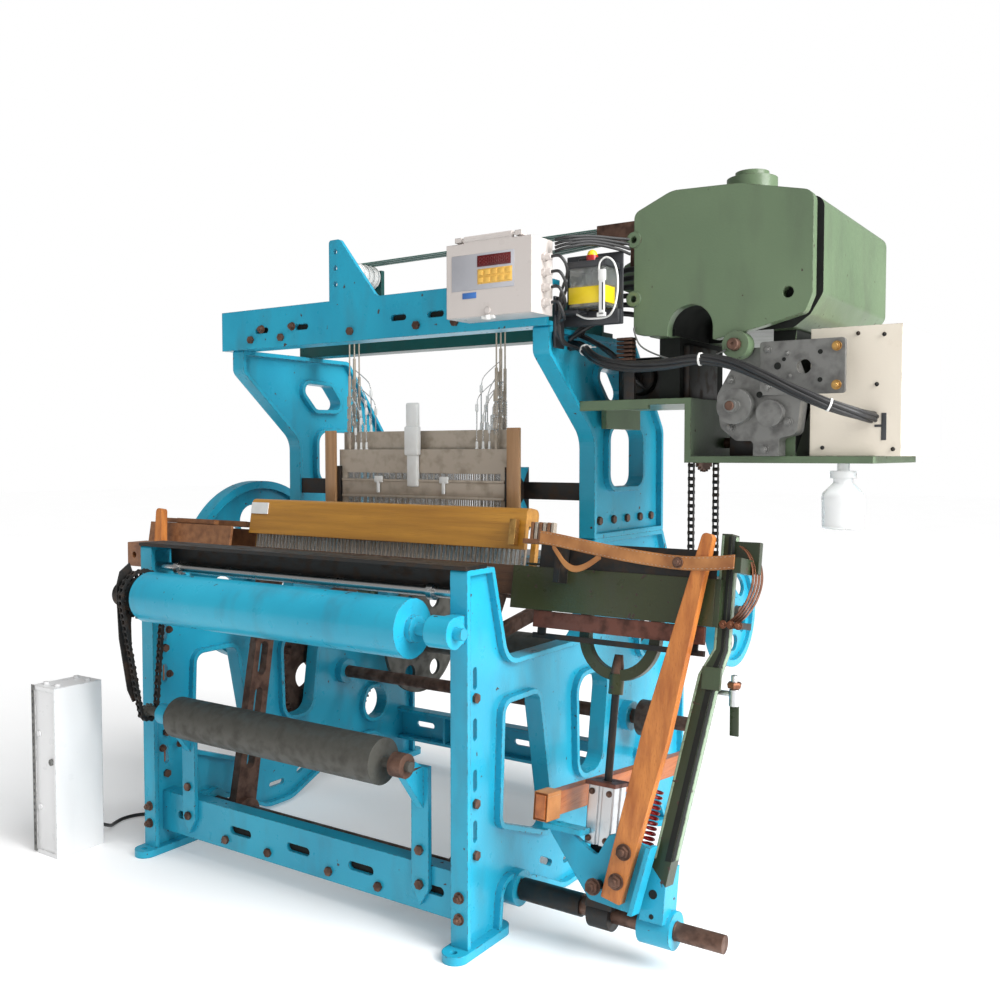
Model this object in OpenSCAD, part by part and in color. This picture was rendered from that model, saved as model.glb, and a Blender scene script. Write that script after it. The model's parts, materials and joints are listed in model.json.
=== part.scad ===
// Dobby loom with drop shuttle boxes. Millimetres, +Z up, X along the loom's width, front at -Y.
// The origin is on the floor, at the centre of the four anchor holes.

/* [Side frames] */
// Distance between the middle planes of the two side frames
frame_spacing = 1200; // [1150:1:1260]
// Distance from the front anchor holes to the rear anchor holes
anchor_spacing = 1338; // [1320:1:1380]
// Radius of an anchor hole
anchor_hole_r = 9; // [6:0.5:12]
// Width of the cast flanges, across the loom
flange_w = 52; // [44:1:60]
// Thickness of the cast web between the flanges
web_t = 14; // [10:1:20]
// Width of the raised rim along every cast edge
rim_w = 14; // [10:1:20]
// Height of the front posts
post_h = 966; // [940:1:990]
// Depth of a front post, front to back
post_depth = 118; // [105:1:122]
// Thickness of a foot pad
foot_t = 22; // [16:1:30]

/* [Top structure] */
// Height of the underside of the top beams
beam_z = 1598; // [1585:1:1620]
// Height of the front top beam's face
beam_h = 129; // [110:1:140]
// Thickness of the top beam plates
beam_t = 14; // [10:1:20]
// Height of the triangular bracket above the beam
bracket_rise = 187; // [150:1:200]

/* [Rollers] */
// Radius of the take-up roller
take_up_r = 75; // [60:1:80]
// Radius of the cloth roller
cloth_r = 60; // [40:1:70]
// Radius of the cloth guide bar
guide_r = 14; // [8:1:18]
// Radius of the whip roll
whip_r = 42; // [30:1:50]
// Radius of the warp beam's flanges
warp_flange_r = 225; // [180:1:235]

/* [Drive] */
// Radius of the crankshaft
crank_shaft_r = 20; // [16:0.5:24]
// Throw of the cranks
crank_throw = 54; // [45:1:58]
// Module of the timing gears
gear_module = 7; // [6.6:0.1:7.2]
// Teeth on the crankshaft gear; the bottom gear has twice as many
crank_teeth = 36; // [34:1:36]
// Radius of the flywheel
flywheel_r = 350; // [300:1:352]
// Radius of the handwheel
handwheel_r = 156; // [130:1:160]
// Radius of the bottom shaft
bottom_shaft_r = 22; // [16:0.5:26]
// Pitch radius of the sprockets on the dobby drive
dobby_sprocket_r = 90; // [76:1:92]

/* [Lay] */
// Backward lean of the lay at rest
lay_lean = 10; // [9:0.1:11]
// Radius of the rocking shaft
rock_r = 23; // [18:0.5:26]
// Height of the race board above the rocking shaft, along the lay
race_w = 850; // [845:1:870]
// Depth of the lay beam, front to back
lay_depth = 120; // [100:1:124]
// Thickness of a picking stick
stick_t = 26; // [18:1:28]
// Width of a picking stick
stick_w = 68; // [50:1:72]

/* [Harness] */
// Width of a heald frame
heald_w = 700; // [640:1:720]
// Height of a heald frame
heald_h = 400; // [360:1:410]
// Thickness of a heald frame
heald_t = 14; // [10:1:16]
// Distance from one heald frame to the next
heald_pitch = 24; // [22:1:30]
// Radius of the harness pulleys
pulley_r = 40; // [30:1:44]

/* [Hidden] */
$fn = 48;

// Running clearance of a shaft in its bore, on the radius
run = 0.05;
// Gap between curved faces that pass each other
gap = 0.4;
// Cut allowance, so that holes run past both faces
cut = 2;

paint_blue = [0.22, 0.62, 0.80];
paint_green = [0.36, 0.45, 0.33];
paint_olive = [0.27, 0.29, 0.20];
paint_teal = [0.06, 0.40, 0.38];
dark_steel = [0.16, 0.15, 0.15];
bright_steel = [0.66, 0.66, 0.66];
rust_brown = [0.36, 0.25, 0.21];
stick_wood = [0.72, 0.42, 0.20];
pale_box = [0.86, 0.83, 0.78];

// Frame planes and the front face of the posts
frame_x = frame_spacing / 2;
inner_x = frame_x - flange_w / 2;
outer_x = frame_x + flange_w / 2;
toe = 24;
post_y = -anchor_spacing / 2 + toe;
frame_depth = anchor_spacing - 2 * toe;
function Y(d) = post_y + d;

// Shaft axes as [distance behind the posts' front face, height]
crank_at = [800, 795];
rock_at = [235, 100];
take_up_at = [-60, post_h - 144];
cloth_at = [-45, 470];
warp_at = [1215, 520];
whip_at = [1225, 852];
gear_reach = gear_module * crank_teeth * 1.5;
mesh_angle = -78;
bottom_at = crank_at + gear_reach * [cos(mesh_angle), sin(mesh_angle)];
axle_r = 15;
boss_wall = 24;

// Corners of an outline are [across, up, corner radius], counter-clockwise
function unit(v) = v / norm(v);
function xy(c) = [c[0], c[1]];
function corner_arc(before, here, after, r, steps) =
  let (
    a = unit(before - here),
    b = unit(after - here),
    half = acos(max(-1, min(1, a * b))) / 2,
    reach = r / tan(half),
    centre = here + unit(a + b) * r / sin(half),
    from = here + a * reach - centre,
    to = here + b * reach - centre,
    start = atan2(from[1], from[0]),
    sweep = (atan2(to[1], to[0]) - start + 900) % 360 - 180
  )
  [for (k = [0 : steps]) centre + r * [cos(start + sweep * k / steps),
    sin(start + sweep * k / steps)]];
function rounded(corners, steps = 6) =
  let (n = len(corners))
  [for (i = [0 : n - 1])
    each corners[i][2] <= 0
      ? [xy(corners[i])]
      : corner_arc(xy(corners[(i + n - 1) % n]), xy(corners[i]), xy(corners[(i + 1) % n]),
        corners[i][2], steps)];
// The same outline moved inwards by d, or outwards where d is negative
function inset(corners, d) =
  let (n = len(corners))
  [for (i = [0 : n - 1])
    let (
      here = xy(corners[i]),
      e1 = unit(here - xy(corners[(i + n - 1) % n])),
      e2 = unit(xy(corners[(i + 1) % n]) - here),
      n1 = [-e1[1], e1[0]],
      n2 = [-e2[1], e2[0]],
      turn = e1[0] * e2[1] - e1[1] * e2[0],
      p = here + (n1 + n2) * d / (1 + n1 * n2),
      r = corners[i][2] <= 0 ? 0 : max(1, corners[i][2] + (turn > 0 ? -d : d))
    )
    [p[0], p[1], r]];
function shifted(corners, by) = [for (c = corners) [c[0] + by[0], c[1] + by[1], c[2]]];

// Placing helpers: a flat shape in the YZ plane, the XZ plane, and shafts along X and Y
module yz_plate(x0, t) {
  translate([x0, 0, 0]) rotate([90, 0, 90]) linear_extrude(t) children();
}
module xz_plate(y0, t) {
  translate([0, y0 + t, 0]) rotate([90, 0, 0]) linear_extrude(t) children();
}
module shaft_x(x0, x1, at, r) {
  translate([x0, Y(at[0]), at[1]]) rotate([0, 90, 0]) cylinder(r = r, h = x1 - x0);
}
module shaft_y(x, z, y0, y1, r) {
  translate([x, y0, z]) rotate([-90, 0, 0]) cylinder(r = r, h = y1 - y0);
}
module block(x, y, z) {
  translate([x[0], y[0], z[0]]) cube([x[1] - x[0], y[1] - y[0], z[1] - z[0]]);
}
module slot_2d(length, width) {
  square([length - width, width], center = true);
  for (s = [-1, 1]) translate([s * (length - width) / 2, 0]) circle(d = width);
}
module round_rect_2d(w, h, r) {
  square([w - 2 * r, h], center = true);
  square([w, h - 2 * r], center = true);
  for (sx = [-1, 1], sy = [-1, 1]) translate([sx * (w / 2 - r), sy * (h / 2 - r)]) circle(r);
}
module hex_head(r, h) {
  cylinder(r = r, h = h, $fn = 6);
}

// A cast plate: thin web, full-width rim along the edge and round each window
module casting(outline, windows, x_mid) {
  yz_plate(x_mid - web_t / 2, web_t) difference() {
    polygon(rounded(outline));
    for (w = windows) polygon(rounded(w));
  }
  yz_plate(x_mid - flange_w / 2, flange_w) difference() {
    polygon(rounded(outline));
    polygon(rounded(inset(outline, rim_w)));
  }
  for (w = windows) yz_plate(x_mid - flange_w / 2, flange_w) difference() {
    polygon(rounded(inset(w, -rim_w)));
    polygon(rounded(w));
  }
}

// Side frames
dip_z = 716;
shelf_z = 1000;
shelf_front = 640;
shelf_back = 1110;
rear_post = frame_depth - 138;
frame_outline = shifted([
  [0, 0, 0], [150, 0, 0], [166, 150, 40], [331, 84, 60], [470, 14, 120], [590, 14, 120],
  [741, 78, 100], [850, 150, 60], [rear_post - 90, 150, 90],
  [rear_post, 0, 0], [frame_depth, 0, 0], [frame_depth, 905, 30], [1160, 905, 30],
  [shelf_back, shelf_z, 12], [shelf_front, shelf_z, 12], [590, dip_z, 60],
    [post_depth + 66, dip_z, 60],
  [post_depth, post_h, 8], [0, post_h, 8]
], [post_y, 0]);
frame_windows = [for (w = [
  [[156, 296, 26], [414, 196, 26], [334, 604, 30], [170, 604, 30]],
  [[560, 312, 50], [690, 312, 50], [732, 604, 50], [550, 604, 50]],
  [[930, 210, 60], [1110, 210, 60], [1110, 330, 60], [1010, 330, 40]],
  [[960, 590, 40], [1120, 650, 40], [1120, 810, 40], [930, 830, 40]]
]) shifted(w, [post_y, 0])];
frame_bosses = [
  [crank_at, crank_shaft_r], [bottom_at, bottom_shaft_r], [rock_at, rock_r],
  [take_up_at, axle_r], [warp_at, axle_r], [whip_at, axle_r]
];
boss_over = 9;
foot_len = 246;
foot_w = 70;
foot_toe = 50;
post_slots = [300, 430, 560, 690];
// Slots along the curved lower edge, as [depth, height, slope]
belly_slots = [[400, 112, -27], [530, 82, 0], [662, 110, 23]];

module foot_pad(x_mid, y_toe, dir) {
  difference() {
    union() {
      translate([x_mid, y_toe + dir * foot_len / 2, foot_t / 2])
        cube([foot_w, foot_len - foot_w, foot_t], center = true);
      for (e = [foot_w / 2, foot_len - foot_w / 2])
        translate([x_mid, y_toe + dir * e, 0]) cylinder(d = foot_w, h = foot_t);
    }
    translate([x_mid, y_toe + dir * (foot_toe - toe), -cut])
      cylinder(r = anchor_hole_r, h = foot_t + 2 * cut);
  }
}

module side_frame(side) {
  x_mid = side * frame_x;
  difference() {
    union() {
      casting(frame_outline, frame_windows, x_mid);
      for (b = frame_bosses)
        shaft_x(x_mid - flange_w / 2 - boss_over, x_mid + flange_w / 2 + boss_over, b[0],
          b[1] + boss_wall);
      // Lug that carries the take-up roller ahead of the post
      block([x_mid - 18, x_mid + 18], [Y(take_up_at[0]), Y(rim_w)],
        [take_up_at[1] - axle_r - boss_wall + 4, take_up_at[1] + axle_r + boss_wall - 4]);
      if (side > 0) {
        // Stud and collar of the side lever
        shaft_x(frame_x, lever_x + lever_t / 2 + 22, lever_pivot, axle_r);
        shaft_x(lever_x + lever_t / 2 + 4, lever_x + lever_t / 2 + 20, lever_pivot, axle_r + 14);
      }
      foot_pad(x_mid, post_y - foot_toe, 1);
      foot_pad(x_mid, post_y + frame_depth + foot_toe, -1);
    }
    for (b = frame_bosses)
      shaft_x(x_mid - flange_w, x_mid + flange_w, b[0], b[1] + run);
    for (z = post_slots)
      translate([x_mid, Y(post_depth / 2), z]) rotate([90, 90, 90])
        linear_extrude(flange_w, center = true) slot_2d(56, 16);
    for (b = belly_slots)
      translate([x_mid, Y(b[0]), b[1]]) rotate([90, 0, 90]) rotate(b[2])
        linear_extrude(flange_w, center = true) slot_2d(70, 18);
  }
}

module left_side_frame() { color(paint_blue) side_frame(-1); }
module right_side_frame() { color(paint_blue) side_frame(1); }

// Cross rails between the side frames
rail_z = [65, 190];
rail_y = 44;
rail_t = 12;
rail_flange = 46;

rail_half = frame_x - web_t / 2;
rail_rib_t = 10;
rail_bays = 5;

// Channel with its open side inwards, ribbed between oblong slots
module cross_rail(y_outer, inward, z) {
  y_inner = y_outer + inward * rail_flange;
  y_web = y_outer + inward * rail_t;
  bay = 2 * rail_half / rail_bays;
  y_all = [min(y_outer, y_inner), max(y_outer, y_inner)];
  difference() {
    union() {
      block([-rail_half, rail_half], [min(y_outer, y_web), max(y_outer, y_web)], z);
      for (zf = [z[0], z[1] - rail_t]) block([-rail_half, rail_half], y_all, [zf, zf + rail_t]);
      for (i = [1 : rail_bays - 1]) {
        x = -rail_half + i * bay;
        block([x - rail_rib_t / 2, x + rail_rib_t / 2], y_all, z);
      }
    }
    for (i = [0 : rail_bays - 1])
      translate([-rail_half + (i + 0.5) * bay, y_outer + inward * rail_t / 2, (z[0] + z[1]) / 2])
        rotate([90, 0, 0]) linear_extrude(rail_t + 2 * cut, center = true) slot_2d(90, 24);
  }
}
rear_rail_lift = 25;
module front_cross_rail() { color(paint_blue) cross_rail(Y(rail_y), 1, rail_z); }
module rear_cross_rail() {
  color(paint_blue) cross_rail(Y(frame_depth - rail_y), -1, [for (z = rail_z) z + rear_rail_lift]);
}

// Breast beam: an angle on the post tops, with a drilled wooden block at its left end
breast_t = 10;
breast_depth = 84;
breast_drop = 62;
module breast_beam() {
  color(dark_steel) {
    block([-outer_x, outer_x], [Y(-6), Y(breast_depth)], [post_h, post_h + breast_t]);
    block([-inner_x, inner_x], [Y(breast_depth) - breast_t, Y(breast_depth)],
      [post_h - breast_drop, post_h + breast_t]);
  }
}
block_w = 64;
module breast_end_block() {
  color(stick_wood) difference() {
    block([-outer_x - block_w, -outer_x], [Y(0), Y(70)], [post_h - 66, post_h + 8]);
    shaft_y(-outer_x - block_w / 2, post_h - 30, Y(-cut), Y(70 + cut), 10);
  }
}
guide_at = [40, post_h - 64];
module cloth_guide_bar() {
  color(bright_steel) {
    shaft_x(-rail_half, rail_half, guide_at, guide_r);
    for (s = [-1, 1]) shaft_x(s * 490 - 9, s * 490 + 9, guide_at, guide_r + 8);
  }
}

// Take-up roller and cloth roller, joined by a roller chain at their left ends
roller_half = inner_x - 70;
sprocket_x = -inner_x + 34;
sprocket_t = 9;
chain_pitch = 19.05;
chain_roller_r = 5.6;
chain_plate_h = 15;
take_up_teeth = 25;
cloth_teeth = 9;
function pitch_r(teeth) = chain_pitch / (2 * sin(180 / teeth));

// Toothed disc whose tips stay just inside the chain's rollers
module sprocket(teeth, path_r, t) {
  tip = path_r - chain_roller_r - gap;
  root = tip - 7;
  linear_extrude(t, center = true) {
    circle(root);
    for (i = [0 : teeth - 1]) rotate(360 * (i + 0.5) / teeth)
      polygon([[root - 3, -5.5], [tip, -2.2], [tip, 2.2], [root - 3, 5.5]]);
  }
}
module sprocket_at(x, at, teeth, path_r, t) {
  translate([x, Y(at[0]), at[1]]) rotate([90, 0, 90]) sprocket(teeth, path_r, t);
}
module take_up_roller() {
  color(paint_blue) {
    shaft_x(-roller_half, roller_half, take_up_at, take_up_r);
    for (s = [-1, 1]) shaft_x(s * (roller_half + 7) - 9, s * (roller_half + 7) + 9, take_up_at,
      take_up_r * 0.45);
    shaft_x(-outer_x - 20, outer_x + 34, take_up_at, axle_r);
    sprocket_at(sprocket_x, take_up_at, take_up_teeth, pitch_r(take_up_teeth), sprocket_t);
  }
}
cloth_half = 395;
cloth_axle_r = 13;
module cloth_roller() {
  color([0.33, 0.31, 0.28]) {
    shaft_x(-cloth_half, cloth_half, cloth_at, cloth_r);
    shaft_x(sprocket_x - 22, bracket_x + 34, cloth_at, cloth_axle_r);
    sprocket_at(sprocket_x, cloth_at, cloth_teeth, pitch_r(cloth_teeth), sprocket_t);
  }
}
bracket_x = 452;
bracket_w = 56;
bracket_t = 14;
module cloth_roller_bracket(x) {
  difference() {
    union() {
      xz_plate(Y(rail_y) - bracket_t, bracket_t) polygon([
        [x - bracket_w / 2, 130], [x, 84], [x + bracket_w / 2, 130],
        [x + bracket_w / 2, cloth_at[1] - 20], [x - bracket_w / 2, cloth_at[1] - 20]]);
      yz_plate(x - 12, 24) polygon(shifted_pts([
        [cloth_at[0], cloth_at[1] - 30], [rail_y - bracket_t, cloth_at[1] - 130],
        [rail_y - bracket_t + 4, cloth_at[1] - 130], [rail_y - bracket_t + 4, cloth_at[1] - 22],
          [cloth_at[0], cloth_at[1] + 26]]));
      shaft_x(x - 20, x + 20, cloth_at, cloth_axle_r + 18);
    }
    shaft_x(x - bracket_w, x + bracket_w, cloth_at, cloth_axle_r + run);
  }
}
function shifted_pts(pts) = [for (p = pts) [p[0] + post_y, p[1]]];
module cloth_roller_brackets() {
  color(paint_blue) for (s = [-1, 1]) cloth_roller_bracket(s * bracket_x);
}

// Chain round two sprockets: plates that narrow between the pins, and a roller at each pin
function chain_angle(a, ra, b, rb) = acos((ra - rb) / norm(b - a));
function on_arc(centre, r, angle) = centre + r * [cos(angle), sin(angle)];
function along(from, to, length) = from + length * unit(to - from);
function chain_points(a, ra, b, rb) =
  let (
    line = b - a,
    base = atan2(line[1], line[0]),
    w = chain_angle(a, ra, b, rb),
    run_len = norm(line) * sin(w),
    arc_a = ra * (360 - 2 * w) * PI / 180,
    arc_b = rb * 2 * w * PI / 180,
    total = arc_a + arc_b + 2 * run_len,
    n = 2 * round(total / chain_pitch / 2),
    step = total / n
  )
  [for (i = [0 : n - 1])
    let (s = i * step)
    s < arc_a ? on_arc(a, ra, base + w + s / ra * 180 / PI)
      : s < arc_a + run_len ? along(on_arc(a, ra, base - w), on_arc(b, rb, base - w), s - arc_a)
      : s < arc_a + run_len + arc_b ? on_arc(b, rb, base - w + (s - arc_a - run_len) / rb * 180 / PI)
      : along(on_arc(b, rb, base + w), on_arc(a, ra, base + w), s - arc_a - run_len - arc_b)];
plate_t = 2.4;
module chain_link(p, q, h) {
  d = q - p;
  translate(p) rotate(atan2(d[1], d[0])) {
    translate([0, -h * 0.32]) square([norm(d), h * 0.64]);
    circle(d = h, $fn = 12);
  }
}
module chain_loop(x, a, ra, b, rb, inner) {
  pts = chain_points([Y(a[0]), a[1]], ra, [Y(b[0]), b[1]], rb);
  n = len(pts);
  for (side = [-1, 1])
    yz_plate(x + side * (inner / 2 + plate_t / 2) - plate_t / 2, plate_t)
      for (i = [0 : n - 1])
        chain_link(pts[i], pts[(i + 1) % n], i % 2 == 0 ? chain_plate_h : chain_plate_h - 2.5);
  for (p = pts)
    translate([x - inner / 2 - 1, p[0], p[1]]) rotate([0, 90, 0])
      cylinder(r = chain_roller_r, h = inner + 2, $fn = 12);
}
chain_inner = 12;
module take_up_chain() {
  color(dark_steel)
    chain_loop(sprocket_x, take_up_at, pitch_r(take_up_teeth), cloth_at, pitch_r(cloth_teeth),
      chain_inner);
}

// Arches that carry the top beams
arch_front = 380;
arch_outline = shifted([
  [shelf_front, shelf_z, 0], [shelf_back, shelf_z, 0], [shelf_back, 1330, 60], [900, beam_z, 30],
  [arch_front, beam_z, 6], [arch_front, 1525, 30], [shelf_front, 1300, 80]
], [post_y, 0]);
arch_windows = [for (w = [
  [[728, 1412, 24], [880, 1415, 24], [806, 1500, 24], [634, 1506, 24]],
  [[740, 1150, 40], [960, 1150, 40], [960, 1330, 40], [740, 1330, 40]]
]) shifted(w, [post_y, 0])];
lug_bolts = [700, 790, 880, 970, 1050];
guide_z = [1070, 1210];
guide_grip = 12;
guide_back = 24;
guide_wall = 10;
guide_arm_z = [1112, 1164];
guide_fit = 0.3;
// Grooved guide for the ends of the heald frames, on an arm from the arch
module heald_guide() {
  x_end = heald_w / 2;
  y = [Y(heald_y) - heald_t / 2 - guide_wall,
    Y(heald_y + 2 * heald_pitch) + heald_t / 2 + guide_wall];
  difference() {
    block([x_end - guide_grip, x_end + guide_back], y, guide_z);
    for (k = [0 : 2])
      block([x_end - guide_grip - cut, x_end + guide_fit],
        [Y(heald_y + k * heald_pitch) - heald_t / 2 - guide_fit,
          Y(heald_y + k * heald_pitch) + heald_t / 2 + guide_fit],
        [guide_z[0] - cut, guide_z[1] + cut]);
  }
  block([x_end + guide_back - 1, frame_x], [y[1] - 30, y[1]], guide_arm_z);
}
module arch(side) {
  casting(arch_outline, arch_windows, side * frame_x);
  if (side > 0) heald_guide();
  else mirror([1, 0, 0]) heald_guide();
}
module left_arch() { color(paint_blue) arch(-1); }
module right_arch() { color(paint_blue) arch(1); }

// Front top beam with its triangular bracket; rear top beam with the pulley pins
beam_y = 366;
beam_flange = 70;
bracket_left = -168;
bracket_top_w = 44;
bracket_base_w = 192;
beam_end = 62;
module front_top_beam() {
  y0 = Y(beam_y);
  face = [
    [-frame_x - beam_end, beam_z, 0], [outer_x, beam_z, 0], [outer_x, beam_z + beam_h, 0],
    [bracket_left + bracket_base_w, beam_z + beam_h, 30],
    [bracket_left + bracket_top_w, beam_z + beam_h + bracket_rise, 16],
    [bracket_left, beam_z + beam_h + bracket_rise, 10],
    [bracket_left, beam_z + beam_h, 0], [-frame_x - beam_end, beam_z + beam_h, 0]];
  color(paint_blue) difference() {
    union() {
      xz_plate(y0, beam_t) polygon(rounded(face));
      block([-frame_x - beam_end, outer_x], [y0, y0 + beam_flange],
        [beam_z + beam_h - beam_t, beam_z + beam_h]);
      block([-frame_x - beam_end, outer_x], [y0, y0 + beam_flange], [beam_z, beam_z + beam_t]);
      for (x = [bracket_left + beam_t / 2, bracket_left + bracket_base_w - beam_t * 2])
        block([x - beam_t / 2, x + beam_t / 2], [y0, y0 + beam_flange], [beam_z, beam_z + beam_h]);
    }
    for (z = [50, 100, 150])
      shaft_y(bracket_left + 26, beam_z + beam_h + z, y0 - cut, y0 + beam_t + cut, 8);
    for (x = [-470, -290, 110, 250]) translate([x, y0 + beam_t / 2, beam_z + beam_h * 0.45])
      rotate([90, 0, 0])
      linear_extrude(beam_t + 2 * cut, center = true) slot_2d(60, 18);
  }
}
rear_beam_y = 690;
pulley_z = [1850, 1800];
pulley_x = [88 - heald_w / 2, heald_w / 2 - 8];
pulley_pin_r = 10;
pulley_y = [578, 672];
hanger_t = 16;
hanger_w = 60;
module rear_top_beam() {
  y0 = Y(rear_beam_y);
  color(paint_teal) {
    block([-frame_x - 20, frame_x + 20], [y0, y0 + beam_t], [beam_z, beam_z + 110]);
    block([-frame_x - 20, frame_x + 20], [y0, y0 + beam_flange], [beam_z, beam_z + beam_t]);
    for (i = [0, 1]) {
      block([pulley_x[i] - hanger_w / 2, pulley_x[i] + hanger_w / 2], [y0, y0 + hanger_t],
        [beam_z + 20, pulley_z[i] + 26]);
      shaft_y(pulley_x[i], pulley_z[i], Y(pulley_y[0] - 10), y0 + hanger_t / 2, pulley_pin_r);
    }
  }
}

// Pulleys with one groove for each heald frame
heald_y = 612;
module harness_pulley(i) {
  groove = 5;
  flange = 4;
  difference() {
    union() {
      shaft_y(pulley_x[i], pulley_z[i], Y(pulley_y[0]), Y(pulley_y[1]), pulley_r - groove);
      for (k = [0 : 3])
        shaft_y(pulley_x[i], pulley_z[i], Y(heald_y + (k - 0.5) * heald_pitch) - flange / 2,
          Y(heald_y + (k - 0.5) * heald_pitch) + flange / 2, pulley_r);
    }
    shaft_y(pulley_x[i], pulley_z[i], Y(pulley_y[0]) - cut, Y(pulley_y[1]) + cut, pulley_pin_r + run);
  }
}
module left_harness_pulley() { color([0.92, 0.92, 0.90]) harness_pulley(0); }
module right_harness_pulley() { color([0.92, 0.92, 0.90]) harness_pulley(1); }

// Straps from the jacks over the pulleys
strap_w = 14;
strap_t = 3;
jack_x = [650, 800];
jack_z = [1852, 1902];
module strap_path(i, y_mid) {
  r_in = pulley_r - 5 + gap;
  c = [pulley_x[i], pulley_z[i]];
  z_end = i == 0 ? jack_z[1] - 8 : jack_z[0] + 8;
  xz_plate(y_mid - strap_w / 2, strap_w) {
    difference() {
      translate(c) circle(r_in + strap_t);
      translate(c) circle(r_in);
      translate([c[0], c[1] - 200]) square([400, 400]);
      translate([c[0] - 200, c[1] - 400]) square([400, 400]);
    }
    polygon([[c[0] - 0.5, c[1] + r_in], [jack_x[0], z_end - strap_t], [jack_x[0], z_end],
      [c[0] - 0.5, c[1] + r_in + strap_t]]);
  }
}
module harness_straps() {
  color(paint_teal) for (i = [0, 1], k = [0 : 2]) strap_path(i, Y(heald_y + k * heald_pitch));
}

// Heald frames: rails, wooden stiles, flat healds and the hooks that hang them
heald_z = 866;
heald_rise = 60;
rail_top_h = 78;
rail_low_h = 56;
stile_w = 34;
heald_count = 23;
hook_top = 1780;
hook_x = [pulley_x[0] - pulley_r - 6, pulley_x[1] - pulley_r - 6];
module heald_frame(k) {
  y_mid = Y(heald_y + (k - 1) * heald_pitch);
  z0 = heald_z + (k == 2 ? heald_rise : 0);
  y_rail = [y_mid - heald_t / 2, y_mid + heald_t / 2];
  color([0.62, 0.58, 0.50]) {
    block([-heald_w / 2, heald_w / 2], y_rail, [z0 + heald_h - rail_top_h, z0 + heald_h]);
    block([-heald_w / 2, heald_w / 2], y_rail, [z0, z0 + rail_low_h]);
    for (s = [-1, 1])
      block([s * (heald_w / 2 - stile_w / 2) - stile_w / 2,
        s * (heald_w / 2 - stile_w / 2) + stile_w / 2], y_rail, [z0, z0 + heald_h]);
    for (i = [1 : heald_count]) {
      x = -heald_w / 2 + stile_w + i * (heald_w - 2 * stile_w) / (heald_count + 1);
      block([x - 1.2, x + 1.2], [y_mid - 2, y_mid + 2],
        [z0 + rail_low_h - 1, z0 + heald_h - rail_top_h + 1]);
    }
    for (x = hook_x) {
      translate([x, y_mid, z0 + heald_h - 10])
        cylinder(r = 2.5, h = hook_top - heald_z - heald_h + 10);
      translate([x, y_mid, z0 + heald_h - 1]) cylinder(r = 6, h = 40);
      translate([x, y_mid, z0 + heald_h + 160]) cylinder(r = 5, h = 90);
    }
  }
}
module heald_frame_1() { heald_frame(1); }
module heald_frame_2() { heald_frame(2); }
module heald_frame_3() { heald_frame(3); }

// Crankshaft with its gear and the dobby drive sprocket
throw_x = 410;
pin_half = 14;
cheek_t = 13;
cheek_r = 32;
gear_x = [-outer_x - 62, -outer_x - 24];
dobby_x = 900;
dobby_teeth = 30;
dobby_at = [crank_at[0], 1282];
crank_left = -1010;
crank_right = 1016;
module spur_gear(teeth, t) {
  rp = gear_module * teeth / 2;
  ra = rp + gear_module * 0.94;
  rf = rp - gear_module * 1.25;
  a = 360 / teeth;
  linear_extrude(t) {
    circle(rf, $fn = teeth * 2);
    for (i = [0 : teeth - 1]) rotate(i * a)
      polygon([[rf - 4, -gear_module * 0.98], [rp, -gear_module * 0.74], [ra, -gear_module * 0.36],
        [ra, gear_module * 0.36], [rp, gear_module * 0.74], [rf - 4, gear_module * 0.98]]);
  }
}
module crank_cheek(x) {
  translate([x, 0, 0]) rotate([90, 0, 90]) linear_extrude(cheek_t) {
    translate([Y(crank_at[0]), crank_at[1]]) {
      circle(cheek_r);
      translate([crank_throw, 0]) circle(cheek_r);
      translate([0, -cheek_r]) square([crank_throw, 2 * cheek_r]);
    }
  }
}
module crankshaft() {
  pin_at = crank_at + [crank_throw, 0];
  color(rust_brown) {
    shaft_x(crank_left, -throw_x - pin_half - 1, crank_at, crank_shaft_r);
    shaft_x(-throw_x + pin_half + 1, throw_x - pin_half - 1, crank_at, crank_shaft_r);
    shaft_x(throw_x + pin_half + 1, crank_right, crank_at, crank_shaft_r);
    for (s = [-1, 1]) {
      for (e = [-1, 1]) crank_cheek(s * throw_x + e * (pin_half + cheek_t / 2) - cheek_t / 2);
      shaft_x(s * throw_x - pin_half - 1, s * throw_x + pin_half + 1, pin_at, crank_shaft_r);
    }
    translate([gear_x[0], Y(crank_at[0]), crank_at[1]]) rotate([90, 0, 90]) rotate(mesh_angle)
      spur_gear(crank_teeth, gear_x[1] - gear_x[0]);
    sprocket_at(dobby_x, crank_at, dobby_teeth, dobby_sprocket_r, sprocket_t);
    shaft_x(dobby_x - 26, dobby_x + 26, crank_at, crank_shaft_r + 18);
  }
}
module dobby_sprocket() {
  color(rust_brown) {
    sprocket_at(dobby_x, dobby_at, dobby_teeth, dobby_sprocket_r, sprocket_t);
    shaft_x(dobby_x - 20, bracket_wall_x[1] + 30, dobby_at, axle_r);
    shaft_x(dobby_x - 14, dobby_x + 14, dobby_at, axle_r + 16);
  }
}
module dobby_chain() {
  color(dark_steel) chain_loop(dobby_x, dobby_at, dobby_sprocket_r, crank_at, dobby_sprocket_r,
    chain_inner);
}

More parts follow.
